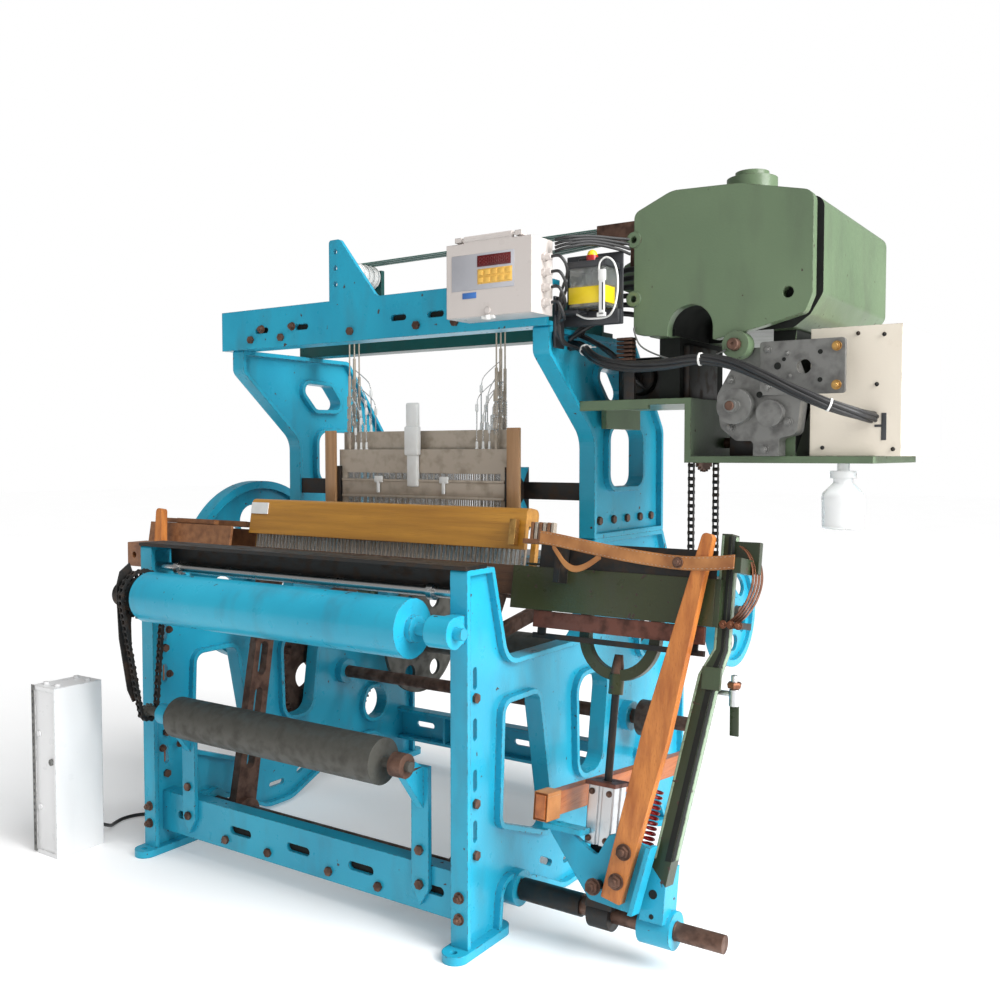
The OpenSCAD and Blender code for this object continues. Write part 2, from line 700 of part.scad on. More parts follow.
// Spoked wheels: a rim, a hub and a slotted web
module wheel(r, w, rim, web, hub_r, bore_r, slots) {
  difference() {
    union() {
      rotate_extrude($fn = 96) {
        translate([r - rim, -w / 2]) square([rim, w]);
        translate([bore_r, -web / 2]) square([r - rim / 2 - bore_r, web]);
        translate([bore_r, -w / 2]) square([hub_r - bore_r, w]);
      }
    }
    for (i = [0 : slots - 1]) rotate(360 * i / slots) translate([(hub_r + r - rim) / 2, 0, 0])
      linear_extrude(w, center = true) rotate(90)
        slot_2d(min((r - rim - hub_r) * 0.9, r * 0.55), (r - rim - hub_r) * 0.5);
  }
}
flywheel_x = -970;
handwheel_x = 985;
module wheel_at(x, r, w, rim, web, hub_r, slots) {
  translate([x, Y(crank_at[0]), crank_at[1]]) rotate([0, 90, 0])
    wheel(r, w, rim, web, hub_r, crank_shaft_r, slots);
}
module flywheel() { color(paint_blue) wheel_at(flywheel_x, flywheel_r, 58, 30, 16, 70, 6); }
module handwheel() { color(paint_blue) wheel_at(handwheel_x, handwheel_r, 34, 20, 10, 44, 5); }

// Bottom shaft with its gear and the picking tappet
bottom_right = 835;
module bottom_shaft() {
  color(rust_brown) {
    shaft_x(gear_x[0] - 30, bottom_right, bottom_at, bottom_shaft_r);
    difference() {
      translate([gear_x[0], Y(bottom_at[0]), bottom_at[1]]) rotate([90, 0, 90])
        rotate(mesh_angle + 180 + 90 / crank_teeth)
        spur_gear(crank_teeth * 2, gear_x[1] - gear_x[0]);
      for (i = [0 : 5]) translate([gear_x[0] - cut, Y(bottom_at[0]), bottom_at[1]])
        rotate([90, 0, 90]) rotate(60 * i)
        translate([gear_module * crank_teeth * 0.58, 0])
          linear_extrude(gear_x[1] - gear_x[0] + 2 * cut) circle(gear_module * 7);
    }
    shaft_x(outer_x + 40, outer_x + 90, bottom_at, bottom_shaft_r + 34);
  }
}

// Crank arms from the crankpins to the lay swords
arm_t = 22;
arm_pin_w = race_w - 230;
function lay_y(v, w) = rock_at[0] + v * cos(lay_lean) + w * sin(lay_lean);
function lay_z(v, w) = rock_at[1] - v * sin(lay_lean) + w * cos(lay_lean);
module crank_arm(x) {
  pin = crank_at + [crank_throw, 0];
  eye = [lay_y(0, arm_pin_w), lay_z(0, arm_pin_w)];
  d = pin - eye;
  difference() {
    union() {
      shaft_x(x - arm_t / 2, x + arm_t / 2, pin, crank_shaft_r + 22);
      shaft_x(x - arm_t / 2, x + arm_t / 2, eye, 32);
      translate([x, Y(eye[0]), eye[1]]) rotate([90, 0, 90]) rotate(atan2(d[1], d[0]))
        linear_extrude(arm_t, center = true) translate([0, -20]) square([norm(d), 40]);
    }
    shaft_x(x - arm_t, x + arm_t, pin, crank_shaft_r + run);
    shaft_x(x - arm_t, x + arm_t, eye, 14);
  }
}
module crank_arms() { color(rust_brown) for (s = [-1, 1]) crank_arm(s * throw_x); }

// Warp beam and whip roll at the back
warp_half = 480;
warp_barrel_r = 62;
module warp_beam() {
  color([0.45, 0.44, 0.42]) {
    shaft_x(-warp_half, warp_half, warp_at, warp_barrel_r);
    shaft_x(-outer_x - 20, outer_x + 20, warp_at, axle_r);
    for (s = [-1, 1]) difference() {
      union() {
        shaft_x(s * warp_half - 7, s * warp_half + 7, warp_at, warp_flange_r);
        shaft_x(s * warp_half - 16, s * warp_half + 16, warp_at, warp_barrel_r + 34);
      }
      for (i = [0 : 5]) translate([s * warp_half, Y(warp_at[0]), warp_at[1]]) rotate([90, 0, 90])
        rotate(60 * i)
        translate([(warp_flange_r + warp_barrel_r) / 2 + 16, 0]) linear_extrude(40, center = true)
          circle((warp_flange_r - warp_barrel_r) * 0.2);
    }
  }
}
module whip_roll() {
  color(bright_steel) {
    shaft_x(-inner_x + 18, inner_x - 18, whip_at, whip_r);
    shaft_x(-outer_x - 16, outer_x + 16, whip_at, axle_r);
  }
}

// Motor on the outer face of the left frame's rear post
motor_at = [1220, 690];
motor_r = 84;
module drive_motor() {
  color(paint_green) {
    shaft_x(-outer_x - boss_over - 18, -outer_x, motor_at, motor_r - 26);
    shaft_x(-outer_x - 40, -outer_x - boss_over - 10, motor_at, motor_r + 14);
    shaft_x(-outer_x - 250, -outer_x - 36, motor_at, motor_r);
    for (i = [0 : 15]) translate([-outer_x - 220, Y(motor_at[0]), motor_at[1]]) rotate([90, 0, 90])
      rotate(22.5 * i)
      translate([motor_r - 3, -2.5]) linear_extrude(165) square([13, 5]);
    shaft_x(-outer_x - 286, -outer_x - 248, motor_at, motor_r - 8);
    block([-outer_x - 170, -outer_x - 90], [Y(motor_at[0] - 45), Y(motor_at[0] + 45)],
      [motor_at[1] + motor_r - 10, motor_at[1] + motor_r + 44]);
  }
}

// Lay frame: v runs backwards and w upwards, from the rocking shaft's axis
module lay_place() {
  translate([0, Y(rock_at[0]), rock_at[1]]) rotate([-lay_lean, 0, 0]) children();
}
rock_left = -880;
rock_right = 1200;
// Free end, turned down past the outer sword's clamp
rock_end_r = rock_r - 1;
rock_end = rock_right - 120;
sword_x = throw_x + arm_t / 2 + 24;
sword_t = 30;
beam_low_w = race_w - 80;
module sword_shape() {
  polygon(rounded([[-44, -20, 10], [44, -20, 10], [36, beam_low_w - 60, 40],
    [lay_depth / 2, beam_low_w, 0],
    [-lay_depth / 2, beam_low_w, 0], [-36, beam_low_w - 60, 40]]));
}
module rocking_shaft() {
  color(rust_brown) lay_place() {
    translate([rock_left, 0, 0]) rotate([0, 90, 0]) cylinder(r = rock_r, h = rock_end - rock_left);
    translate([rock_end - 1, 0, 0]) rotate([0, 90, 0])
      cylinder(r = rock_end_r, h = rock_right - rock_end + 1);
    // Clamp with the left picking stick's pivot pin
    translate([left_pivot[0] - 34, 0, 0]) rotate([0, 90, 0]) cylinder(r = rock_r + 20, h = 68);
    block([left_pivot[0] - 24, left_pivot[0] + 24], [lift_v - 20, lift_v + 30],
      [rock_r - 4, left_pivot[1] + 30]);
    shaft_v(left_pivot, pivot_r, lift_v - 19, stick_v - stick_t / 2 - 4);
    for (s = [-1, 1]) {
      difference() {
        translate([s * sword_x - sword_t / 2, 0, 0]) rotate([90, 0, 90]) linear_extrude(sword_t)
          sword_shape();
        for (w = [190, 340, 490]) translate([s * sword_x, 0, w]) rotate([90, 90, 90])
          linear_extrude(sword_t + 2 * cut, center = true) slot_2d(110, 34);
      }
      translate([s * sword_x - 34, 0, 0]) rotate([0, 90, 0]) cylinder(r = rock_r + 22, h = 68);
      translate([s * (sword_x + sword_t / 2 + 14), 0, arm_pin_w]) rotate([0, -s * 90, 0])
        cylinder(r = 22, h = sword_t + 14 + 8);
    }
  }
}

// Lay beam with race board, reed and reed cap
lay_left = -1000;
box_end = 1140;
beam_half = 560;
reed_v = 14;
cap_w = [race_w + 112, race_w + 164];
module lay_beam() {
  color([0.30, 0.20, 0.13]) lay_place() {
    block([lay_left, beam_half], [-lay_depth / 2, lay_depth / 2], [beam_low_w, race_w - 14]);
    block([-beam_half, beam_half], [-lay_depth / 2, reed_v - 14], [race_w - 14, race_w]);
  }
}
reed_half = 540;
dent_count = 71;
module reed() {
  color([0.55, 0.52, 0.46]) lay_place() {
    for (w = [[race_w - 14, race_w + 2], [cap_w[0] - 8, cap_w[0]]])
      block([-reed_half, reed_half], [reed_v - 7, reed_v + 7], w);
    for (i = [0 : dent_count - 1]) {
      x = -reed_half + 4 + i * (2 * reed_half - 8) / (dent_count - 1);
      block([x - 2, x + 2], [reed_v - 4, reed_v + 4], [race_w, cap_w[0] - 6]);
    }
  }
}
cap_depth = 64;
shuttle_room = 46;
module reed_cap() {
  color([0.72, 0.45, 0.10]) lay_place() {
    xz_cap = [[-cap_depth / 2, 0, 0], [cap_depth / 2, 0, 0], [cap_depth / 2, cap_w[1] - cap_w[0], 18],
      [-cap_depth / 2, cap_w[1] - cap_w[0], 18]];
    translate([-beam_half + 10, reed_v, cap_w[0]]) rotate([90, 0, 90])
      linear_extrude(2 * beam_half - 20) polygon(rounded(xz_cap));
    // Front board that hangs before the reed, above the shuttle's path
    block([-beam_half + 10, beam_half - 10], [reed_v - cap_depth / 2, reed_v - cap_depth / 2 + 16],
      [race_w + shuttle_room, cap_w[1] - 20]);
    // End arms that hold the cap above the race board
    for (s = [-1, 1])
      block([s * (beam_half - 8) - 8, s * (beam_half - 8) + 8], [reed_v + 12, reed_v + 30],
        [race_w - 14, cap_w[0] + 10]);
  }
}

// Left shuttle box on the lay
module left_shuttle_box() {
  color(paint_olive) lay_place() {
    x = [lay_left, -beam_half - 20];
    block(x, [-lay_depth / 2 - 10, -lay_depth / 2], [beam_low_w, race_w + 62]);
    block(x, [lay_depth / 2 - 18, lay_depth / 2 - 8], [race_w - 14, race_w + 62]);
    block([x[0], x[0] + 14], [-lay_depth / 2, lay_depth / 2 - 18], [race_w - 14, race_w + 40]);
  }
}

// Right-hand box end: fixed front plate, rail and the outer sword
plate_v = -76;
module box_front_plate() {
  color(paint_olive) lay_place() {
    block([beam_half, box_end], [plate_v, plate_v + 8], [race_w - 85, race_w]);
    block([beam_half, box_end], [plate_v, plate_v + 14], [race_w - 115, race_w - 85]);
    block([beam_half, beam_half + 14], [plate_v, -20], [beam_low_w - 25, race_w]);
    // Post that holds the inner end of the check strap
    block([strap_x[0], strap_x[0] + 18], [strap_v, plate_v + 1],
      [race_w - 40, strap_mid_w + strap_h / 2]);
  }
}
sword_foot_x = 1030;
sword_top_x = 1166;
outer_w = 46;
clamp_r = 46;
module outer_sword() {
  bend = 620;
  v0 = -34;
  color(paint_green) lay_place() difference() {
    union() {
      translate([0, v0, 0]) rotate([90, 0, 0]) linear_extrude(outer_w, center = true) polygon([
        [sword_foot_x - 20, 60], [sword_foot_x + 26, 60], [sword_top_x - 18, bend],
        [sword_top_x, bend + 60], [sword_top_x, race_w + 112], [sword_top_x - 26, race_w + 112],
        [sword_top_x - 26, bend + 64], [sword_top_x - 60, bend]]);
      translate([sword_foot_x - 40, 0, 0]) rotate([0, 90, 0]) cylinder(r = clamp_r, h = 86);
      block([sword_foot_x - 28, sword_foot_x + 34], [v0 - outer_w / 2, 20], [20, 150]);
      block([box_end, sword_top_x - 13], [plate_v, v0], [race_w - 115, race_w]);
      block([sword_top_x - 26, sword_top_x + 64], [v0 - 6, v0 + 14], [race_w + 20, race_w + 96]);
      // Bracket that holds the outer end of the check strap
      block([sword_top_x + 30, sword_top_x + 50], [strap_v, v0],
        [strap_mid_w - 18, strap_mid_w + 18]);
    }
    translate([rock_left, 0, 0]) rotate([0, 90, 0])
      cylinder(r = rock_r, h = rock_right - rock_left + cut);
  }
}

// Drop boxes: two shuttle cells that rise on the lift fork
lift_x = 880;
lift_v = -38;
box_x = [beam_half + 24, box_end - 20];
box_v = [plate_v + 24, 44];
box_low = race_w - 112;
cell_h = 52;
shelf_t = 6;
module drop_box() {
  color(paint_olive) lay_place() {
    for (i = [0 : 2]) block(box_x, box_v, [box_low + i * (cell_h + shelf_t),
      box_low + i * (cell_h + shelf_t) + shelf_t]);
    block(box_x, [box_v[1] - 8, box_v[1]], [box_low, box_low + 2 * cell_h + 3 * shelf_t]);
    for (x = [box_x[0] + 90, box_x[1] - 100])
      block([x, x + 40], [box_v[0], box_v[0] + 6], [box_low, box_low + 2 * cell_h + 3 * shelf_t]);
  }
}
fork_r = [86, 114];
fork_w = 690;
fork_t = 22;
rod_r = 10;
cylinder_w = [172, 316];
cylinder_half = 36;
module lift_fork() {
  color(paint_olive) lay_place() {
    translate([lift_x, lift_v + fork_t / 2, fork_w]) rotate([90, 0, 0]) linear_extrude(fork_t) {
      difference() {
        circle(fork_r[1]);
        circle(fork_r[0]);
        translate([-200, 0]) square(400);
      }
      for (s = [-1, 1]) translate([s * (fork_r[0] + fork_r[1]) / 2 - 14, -1])
        square([28, box_low - fork_w + 1]);
    }
    translate([lift_x, lift_v, fork_w - fork_r[1] - 34]) cylinder(r = 19, h = 52);
    translate([lift_x, lift_v, cylinder_w[1] - 60])
      cylinder(r = rod_r, h = fork_w - fork_r[1] - cylinder_w[1] + 62);
  }
}
module lift_cylinder() {
  h = cylinder_w[1] - cylinder_w[0];
  color([0.72, 0.73, 0.74]) lay_place() difference() {
    union() {
      translate([lift_x, lift_v, cylinder_w[0]]) linear_extrude(h) difference() {
        round_rect_2d(2 * cylinder_half, 2 * cylinder_half, 6);
        for (s = [-1, 1], q = [0, 90]) rotate(q) translate([s * cylinder_half, 0]) circle(6);
      }
      translate([lift_x, lift_v, cylinder_w[1] - 1]) cylinder(r = 22, h = 9);
      // Foot that clamps the cylinder to the rocking shaft
      block([lift_x - 24, right_pivot[0] + 22], [lift_v - 20, lift_v + 30],
        [rock_r - 4, cylinder_w[0] + 1]);
      shaft_v(right_pivot, pivot_r, lift_v - 19, stick_v - stick_t / 2 - 4);
      translate([lift_x - 30, 0, 0]) rotate([0, 90, 0]) cylinder(r = rock_r + 20, h = 60);
    }
    translate([lift_x, lift_v, cylinder_w[1] - 70]) cylinder(r = rod_r + run, h = 90);
    translate([lift_x - 60, 0, 0]) rotate([0, 90, 0]) cylinder(r = rock_r, h = 120);
  }
}

// Picking sticks: tapered wooden levers on cast shoes that swing on the lay
shoe_t = 16;
stick_v = lift_v - cylinder_half - 2 - shoe_t - stick_t / 2;
shoe_back = stick_v + stick_t / 2;
right_pivot = [906, 86];
right_foot = [954, 62];
right_tip = [1128, 956];
left_pivot = [-732, 86];
left_foot = [-770, 62];
left_tip = [-905, 956];
pivot_r = 12;
module picking_stick(foot, tip, w) {
  d = tip - foot;
  n = norm(d);
  translate([foot[0], stick_v + stick_t / 2, foot[1]]) rotate([90, 0, 0]) rotate(atan2(d[1], d[0]))
    linear_extrude(stick_t)
      polygon(rounded([[0, -w * 0.36, 4], [n * 0.45, -w / 2, 60], [n, -w * 0.2, 12], [n, w * 0.2, 12],
      [n * 0.45, w / 2, 60], [0, w * 0.42, 4]]));
}
module right_picking_stick() {
  color(stick_wood) lay_place() picking_stick(right_foot, right_tip, stick_w);
}
module left_picking_stick() {
  color(stick_wood) lay_place() difference() {
    union() {
      picking_stick(left_foot, left_tip, stick_w);
      translate([0, shoe_back + shoe_t, 0]) rotate([90, 0, 0]) linear_extrude(shoe_t + 1)
        polygon(rounded([
        [left_foot[0] - 16, 40, 10], [left_pivot[0] + 24, 50, 14], [left_pivot[0] + 30, 124, 14],
          [left_foot[0] - 40, 230, 14]]));
      shaft_v(left_pivot, pivot_r + 16, shoe_back + shoe_t, shoe_back);
    }
    shaft_v(left_pivot, pivot_r + run, shoe_back + 2 * shoe_t, stick_v - 2 * stick_t);
  }
}
// Round pin along v, from the rear end to the front end
module shaft_v(at, r, v_rear, v_front) {
  translate([at[0], v_rear, at[1]]) rotate([90, 0, 0]) cylinder(r = r, h = v_rear - v_front);
}
module right_picking_shoe() {
  color(paint_blue) lay_place() difference() {
    union() {
      translate([0, shoe_back + shoe_t, 0]) rotate([90, 0, 0]) linear_extrude(shoe_t)
        polygon(rounded([
        [right_pivot[0] - 24, 46, 14], [right_foot[0] + 50, 38, 14], [right_foot[0] + 82, 200, 10],
        [right_foot[0] - 30, 214, 20], [right_foot[0] - 60, 150, 14], [778, 214, 10],
          [752, 190, 10]]));
      // Ledge that the side lever presses, and the lip along the stick's outer edge
      block([752, 860], [stick_v - 20, shoe_back + shoe_t], [196, 210]);
      translate([0, shoe_back + shoe_t, 0]) rotate([90, 0, 0]) linear_extrude(stick_t + shoe_t)
        polygon([
        [right_foot[0] + 45, 40], [right_foot[0] + 57, 40], [right_foot[0] + 91, 205],
          [right_foot[0] + 79, 205]]);
      shaft_v(right_pivot, pivot_r + 12, shoe_back + shoe_t, shoe_back);
    }
    shaft_v(right_pivot, pivot_r + run, shoe_back + 2 * shoe_t, stick_v - 2 * stick_t);
  }
}
// Leather check strap across the stick's path, with a slotted tongue hanging from it
strap_mid_w = race_w + 34;
strap_v = stick_v - stick_t / 2 - 1;
strap_h = 34;
strap_thick = 5;
strap_x = [712, sword_top_x + 56];
module picking_strap() {
  y = [strap_v - strap_thick, strap_v];
  color([0.60, 0.36, 0.16]) lay_place() difference() {
    union() {
      block(strap_x, y, [strap_mid_w - strap_h / 2, strap_mid_w + strap_h / 2]);
      block([strap_x[0] + 40, strap_x[0] + 170], y, [strap_mid_w - strap_h / 2 - 26, strap_mid_w]);
    }
    translate([strap_x[0] + 105, strap_v + cut, strap_mid_w - 24]) rotate([90, 0, 0])
      linear_extrude(strap_thick + 2 * cut) slot_2d(80, 14);
  }
}

// Wooden side lever that presses the picking shoe down
lever_x = 776;
lever_t = 28;
lever_h = 58;
lever_pivot = [950, 286];
lever_tip = [96, 386];
module right_side_lever() {
  d = lever_tip - lever_pivot;
  color(stick_wood) difference() {
    union() {
      translate([lever_x - lever_t / 2, Y(lever_pivot[0]), lever_pivot[1]]) rotate([90, 0, 90])
        rotate(atan2(d[1], d[0]))
        translate([-30, -lever_h / 2]) linear_extrude(lever_t) square([norm(d) + 30, lever_h]);
      translate([lever_x - lever_t / 2 - 4, Y(lever_tip[0]), lever_tip[1]]) rotate([90, 0, 90])
        rotate(atan2(d[1], d[0]))
        translate([-62, -lever_h / 2 - 4]) linear_extrude(lever_t + 8) square([56, lever_h + 8]);
    }
    shaft_x(lever_x - 40, lever_x + 40, lever_pivot, axle_r + run);
  }
}

// Dobby carrier, plates and housing
shelf_low = 1227;
shelf_high = 1385;
bracket_wall_x = [948, 966];
bracket_y = [550, 905];
module dobby_bracket() {
  y = [Y(bracket_y[0]), Y(bracket_y[1])];
  color(paint_green) difference() {
    union() {
      block([outer_x, bracket_wall_x[1]], y, [shelf_high, shelf_high + 16]);
      block([outer_x, outer_x + 16], [Y(680), Y(bracket_y[1])], [shelf_high - 60, shelf_high + 16]);
      block(bracket_wall_x, y, [shelf_low, shelf_high + 16]);
      block([bracket_wall_x[0], 1440], [y[0], Y(1010)], [shelf_low, shelf_low + 18]);
      for (x = [860, 1180])
        block([x, x + 60], [Y(580), Y(bracket_y[1] - 20)],
        [x > 1000 ? shelf_low + 17 : shelf_high + 15, 1566]);
      block([outer_x, 840], [y[0], y[0] + 14], [shelf_high - 12, shelf_high + 1]);
    }
    shaft_x(bracket_wall_x[0] - 20, bracket_wall_x[1] + 20, dobby_at, axle_r + run);
  }
}
front_y = 485;
plate_thick = 30;
dobby_depth = [515, 1150];
dobby_right = 1308;
dobby_lugs = [1665, 1822];
dobby_boss = [1118, 1526];
// Arch in the front plate, and the hollow behind it
arch_at = [990, 1575];
arch_r = 63;
module dobby_arch(r) {
  translate(arch_at) circle(r);
  translate(arch_at - [r, 75]) square([2 * r, 75]);
}
module dobby_front_plate() {
  y0 = Y(front_y);
  color(paint_green) difference() {
    union() {
      xz_plate(y0, plate_thick) polygon(rounded([
        [828, 1570, 18], [1060, 1544, 8], [1180, 1568, 40], [dobby_right - 18, 1596, 20],
        [dobby_right, 1640, 20], [dobby_right, 1888, 28], [1119, 1931, 120], [937, 1938, 80],
        [828, 1892, 24]]));
      for (z = dobby_lugs) xz_plate(y0 - 4, plate_thick + 4) translate([828, z]) circle(21);
      xz_plate(y0 - 14, plate_thick + 14) translate(dobby_boss) circle(35);
    }
    xz_plate(y0 - cut, plate_thick + 2 * cut) {
      dobby_arch(arch_r);
      translate([1248, 1648]) circle(14);
    }
    for (z = dobby_lugs) xz_plate(y0 - 20, 60) translate([828, z]) circle(9);
    xz_plate(y0 - 20, 60) translate(dobby_boss) circle(16);
  }
}
seam_w = 24;
seam_deep = 18;
module dobby_housing() {
  y = [Y(dobby_depth[0]), Y(dobby_depth[1])];
  outline = [[846, 1566, 10], [1244, 1566, 20], [dobby_right - 20, 1598, 30],
    [dobby_right + 10, 1648, 30], [dobby_right + 10, 1882, 30], [1119, 1921, 120], [937, 1928, 80],
    [846, 1886, 20]];
  color(paint_green) {
    // Body behind a narrower neck, which leaves a dark seam round the front plate
    difference() {
      union() {
        xz_plate(y[0], seam_w + 1) polygon(rounded(inset(outline, seam_deep)));
        xz_plate(y[0] + seam_w, y[1] - y[0] - seam_w) polygon(rounded(outline));
      }
      xz_plate(y[0] - cut, 260) dobby_arch(arch_r + 3);
    }
    // Guard that slopes down over the jack ends
    xz_plate(Y(700), 190) polygon([[660, 1740], [700, 1722], [848, 1640], [848, 1836], [790, 1846],
      [690, 1800]]);
    translate([1096, Y(640), 1900]) cylinder(r = 66, h = 76);
    translate([1096, Y(640), 1975]) cylinder(r = 44, h = 18);
  }
}
module dobby_jacks() {
  color(rust_brown) {
    for (k = [0 : 2])
      block(jack_x, [Y(heald_y + k * heald_pitch) - 9, Y(heald_y + k * heald_pitch) + 9], jack_z);
    block([jack_x[1] - 44, 846], [Y(heald_y - 14), Y(heald_y + 2 * heald_pitch + 14)],
      [jack_z[0] - 30, jack_z[0]]);
    block([760, 846], [Y(heald_y - 14), Y(heald_y + 2 * heald_pitch + 14)],
      [jack_z[0] - 90, jack_z[0] - 29]);
  }
}
module dobby_gearbox() {
  y = [Y(520), Y(575)];
  color([0.52, 0.52, 0.51]) difference() {
    union() {
      xz_plate(y[0], y[1] - y[0])
        polygon(rounded([[1150, shelf_low + 18, 0], [1216, shelf_low + 18, 0], [1216, 1290, 10],
        [1262, 1300, 20], [1276, 1420, 20], [1240, 1520, 30], [1120, 1520, 30], [1050, 1400, 40],
        [1062, 1318, 30], [1104, 1284, 20], [1150, 1284, 10]]));
      shaft_y(1110, 1372, y[0] - 34, y[0] + 4, 46);
      shaft_y(1110, 1372, y[0] - 62, y[0] - 30, 17);
      shaft_y(1198, 1352, y[0] - 22, y[0] + 4, 34);
      xz_plate(y[0] - 12, 12) difference() {
        polygon(rounded([[1170, 1398, 8], [1382, 1398, 8], [1382, 1532, 8], [1170, 1532, 8]]));
        translate([1282, 1466]) circle(18);
        for (p = [[1190, 1418], [1362, 1418], [1190, 1512], [1362, 1512]]) translate(p) circle(7);
      }
    }
  }
}

// Drive electronics box, with its cable bundle from the beam
drive_x = [1278, 1498];
drive_y = [575, 1010];
drive_z = [1245, 1564];
module drive_control_box() {
  color(pale_box) difference() {
    block(drive_x, [Y(drive_y[0]), Y(drive_y[1])], drive_z);
    // Shadow line between the lid and the box
    difference() {
      block([drive_x[0] - cut, drive_x[1] + cut], [Y(drive_y[0] + 18), Y(drive_y[0] + 20)],
        [drive_z[0] - cut, drive_z[1] + cut]);
      block([drive_x[0] + 2, drive_x[1] - 2], [Y(drive_y[0]), Y(drive_y[1])],
        [drive_z[0] + 2, drive_z[1] - 2]);
    }
  }
}

// Round cable swept along a route of hand-placed points [x, distance behind the posts, z]
cable_r = 15;
cable_route = [
  [607, 520, 1556], [634, 520, 1556], [672, 496, 1540], [726, 452, 1512], [790, 420, 1490],
    [870, 410, 1478],
  [960, 408, 1480], [1050, 408, 1488], [1130, 410, 1474], [1210, 418, 1440], [1290, 430, 1400],
  [1360, 450, 1368], [1412, 492, 1348], [1432, 545, 1340], [1432, 575, 1340]
];
floor_cord_r = 6;
floor_cord_route = [
  [-852, -30, 40], [-852, 0, 40], [-864, 30, 26], [-884, 60, 12], [-906, 92, 7], [-918, 130, 7],
  [-912, 170, 7], [-890, 202, 7], [-850, 222, 7], [-800, 232, 7], [-750, 240, 9], [-710, 262, 20],
  [-684, 300, 48], [-656, 352, 81], [-626, 352, 81]
];
function placed(route) = [for (p = route) [p[0], Y(p[1]), p[2]]];
function spline(route, per) =
  let (n = len(route))
  [for (i = [0 : n - 2], s = [0 : per - 1])
    let (
      p0 = route[max(i - 1, 0)],
      p1 = route[i],
      p2 = route[i + 1],
      p3 = route[min(i + 2, n - 1)],
      t = s / per
    )
    0.5 * (2 * p1 + (p2 - p0) * t
      + (2 * p0 - 5 * p1 + 4 * p2 - p3) * t * t
      + (3 * p1 - p0 - 3 * p2 + p3) * t * t * t),
    route[n - 1]];
module tube(route, r, sides, per) {
  pts = spline(route, per);
  n = len(pts);
  rings = [for (i = [0 : n - 1])
    let (
      tan_v = unit(i == 0 ? route[1] - route[0]
        : i == n - 1 ? route[len(route) - 1] - route[len(route) - 2]
        : pts[i + 1] - pts[i - 1]),
      side_v = unit(cross(tan_v, [0.12, 0.05, 0.99])),
      up_v = cross(side_v, tan_v)
    )
    each [for (k = [0 : sides - 1])
      let (turn = 360 * k / sides)
      pts[i] + r * (cos(turn) * side_v + sin(turn) * up_v)]];
  faces = concat(
    [[for (k = [0 : sides - 1]) k]],
    [for (i = [0 : n - 2], k = [0 : sides - 1])
      [i * sides + k, (i + 1) * sides + k, (i + 1) * sides + (k + 1) % sides,
        i * sides + (k + 1) % sides]],
    [[for (k = [sides - 1 : -1 : 0]) (n - 1) * sides + k]]);
  polyhedron(points = rings, faces = faces);
}
module cable_bundle() { color([0.05, 0.05, 0.05]) tube(placed(cable_route), cable_r, 10, 3); }
module cabinet_cable() { color([0.05, 0.05, 0.05]) tube(placed(floor_cord_route), floor_cord_r, 8,
  3); }

// Control box on the front beam, with a hinged door and cable glands
box_face_x = [370, 645];
box_face_z = [1620, 1820];
box_depth = 92;
door_t = 14;
knuckle_r = 8;
hinge_pin_r = 4;
knuckle = [beam_y - box_depth - knuckle_r - 2, box_face_z[1] + knuckle_r + 2];
module control_box() {
  y1 = Y(beam_y);
  color([0.80, 0.77, 0.74]) {
    difference() {
      block(box_face_x, [y1 - box_depth, y1], box_face_z);
      block([box_face_x[0] + 6, box_face_x[1] - 6], [y1 - box_depth - cut, y1 - 6],
        [box_face_z[0] + 6, box_face_z[1] - 6]);
    }
    for (z = [1650, 1690, 1730, 1770]) translate([box_face_x[1] - 1, y1 - 46, z]) rotate([0, 90, 0]) {
      cylinder(r = 13, h = 9, $fn = 6);
      cylinder(r = 9, h = 26);
    }
    shaft_x(box_face_x[0] + 30, box_face_x[1] - 30, knuckle, hinge_pin_r);
    for (x = [box_face_x[0] + 30, box_face_x[1] - 50]) {
      block([x, x + 20], [Y(knuckle[0]) - 6, y1 - box_depth + 12],
        [box_face_z[1] + 3, knuckle[1] + 6]);
      block([x, x + 20], [y1 - box_depth, y1 - box_depth + 12], [box_face_z[1] - 1, knuckle[1]]);
    }
  }
}
module control_box_door() {
  y1 = Y(beam_y) - box_depth;
  color([0.82, 0.79, 0.76]) difference() {
    union() {
      block(box_face_x, [y1 - door_t, y1 - 0.3], [box_face_z[0], box_face_z[1] - 0.5]);
      block([box_face_x[0] + 60, box_face_x[1] - 60], [y1 - door_t, y1 - 4],
        [box_face_z[1] - 8, knuckle[1]]);
      shaft_x(box_face_x[0] + 60, box_face_x[1] - 60, knuckle, knuckle_r);
      translate([(box_face_x[0] + box_face_x[1]) / 2, y1 - door_t, box_face_z[0] + 14])
        rotate([90, 0, 0]) cylinder(r = 9, h = 5);
    }
    shaft_x(box_face_x[0], box_face_x[1], knuckle, hinge_pin_r + run);
  }
}

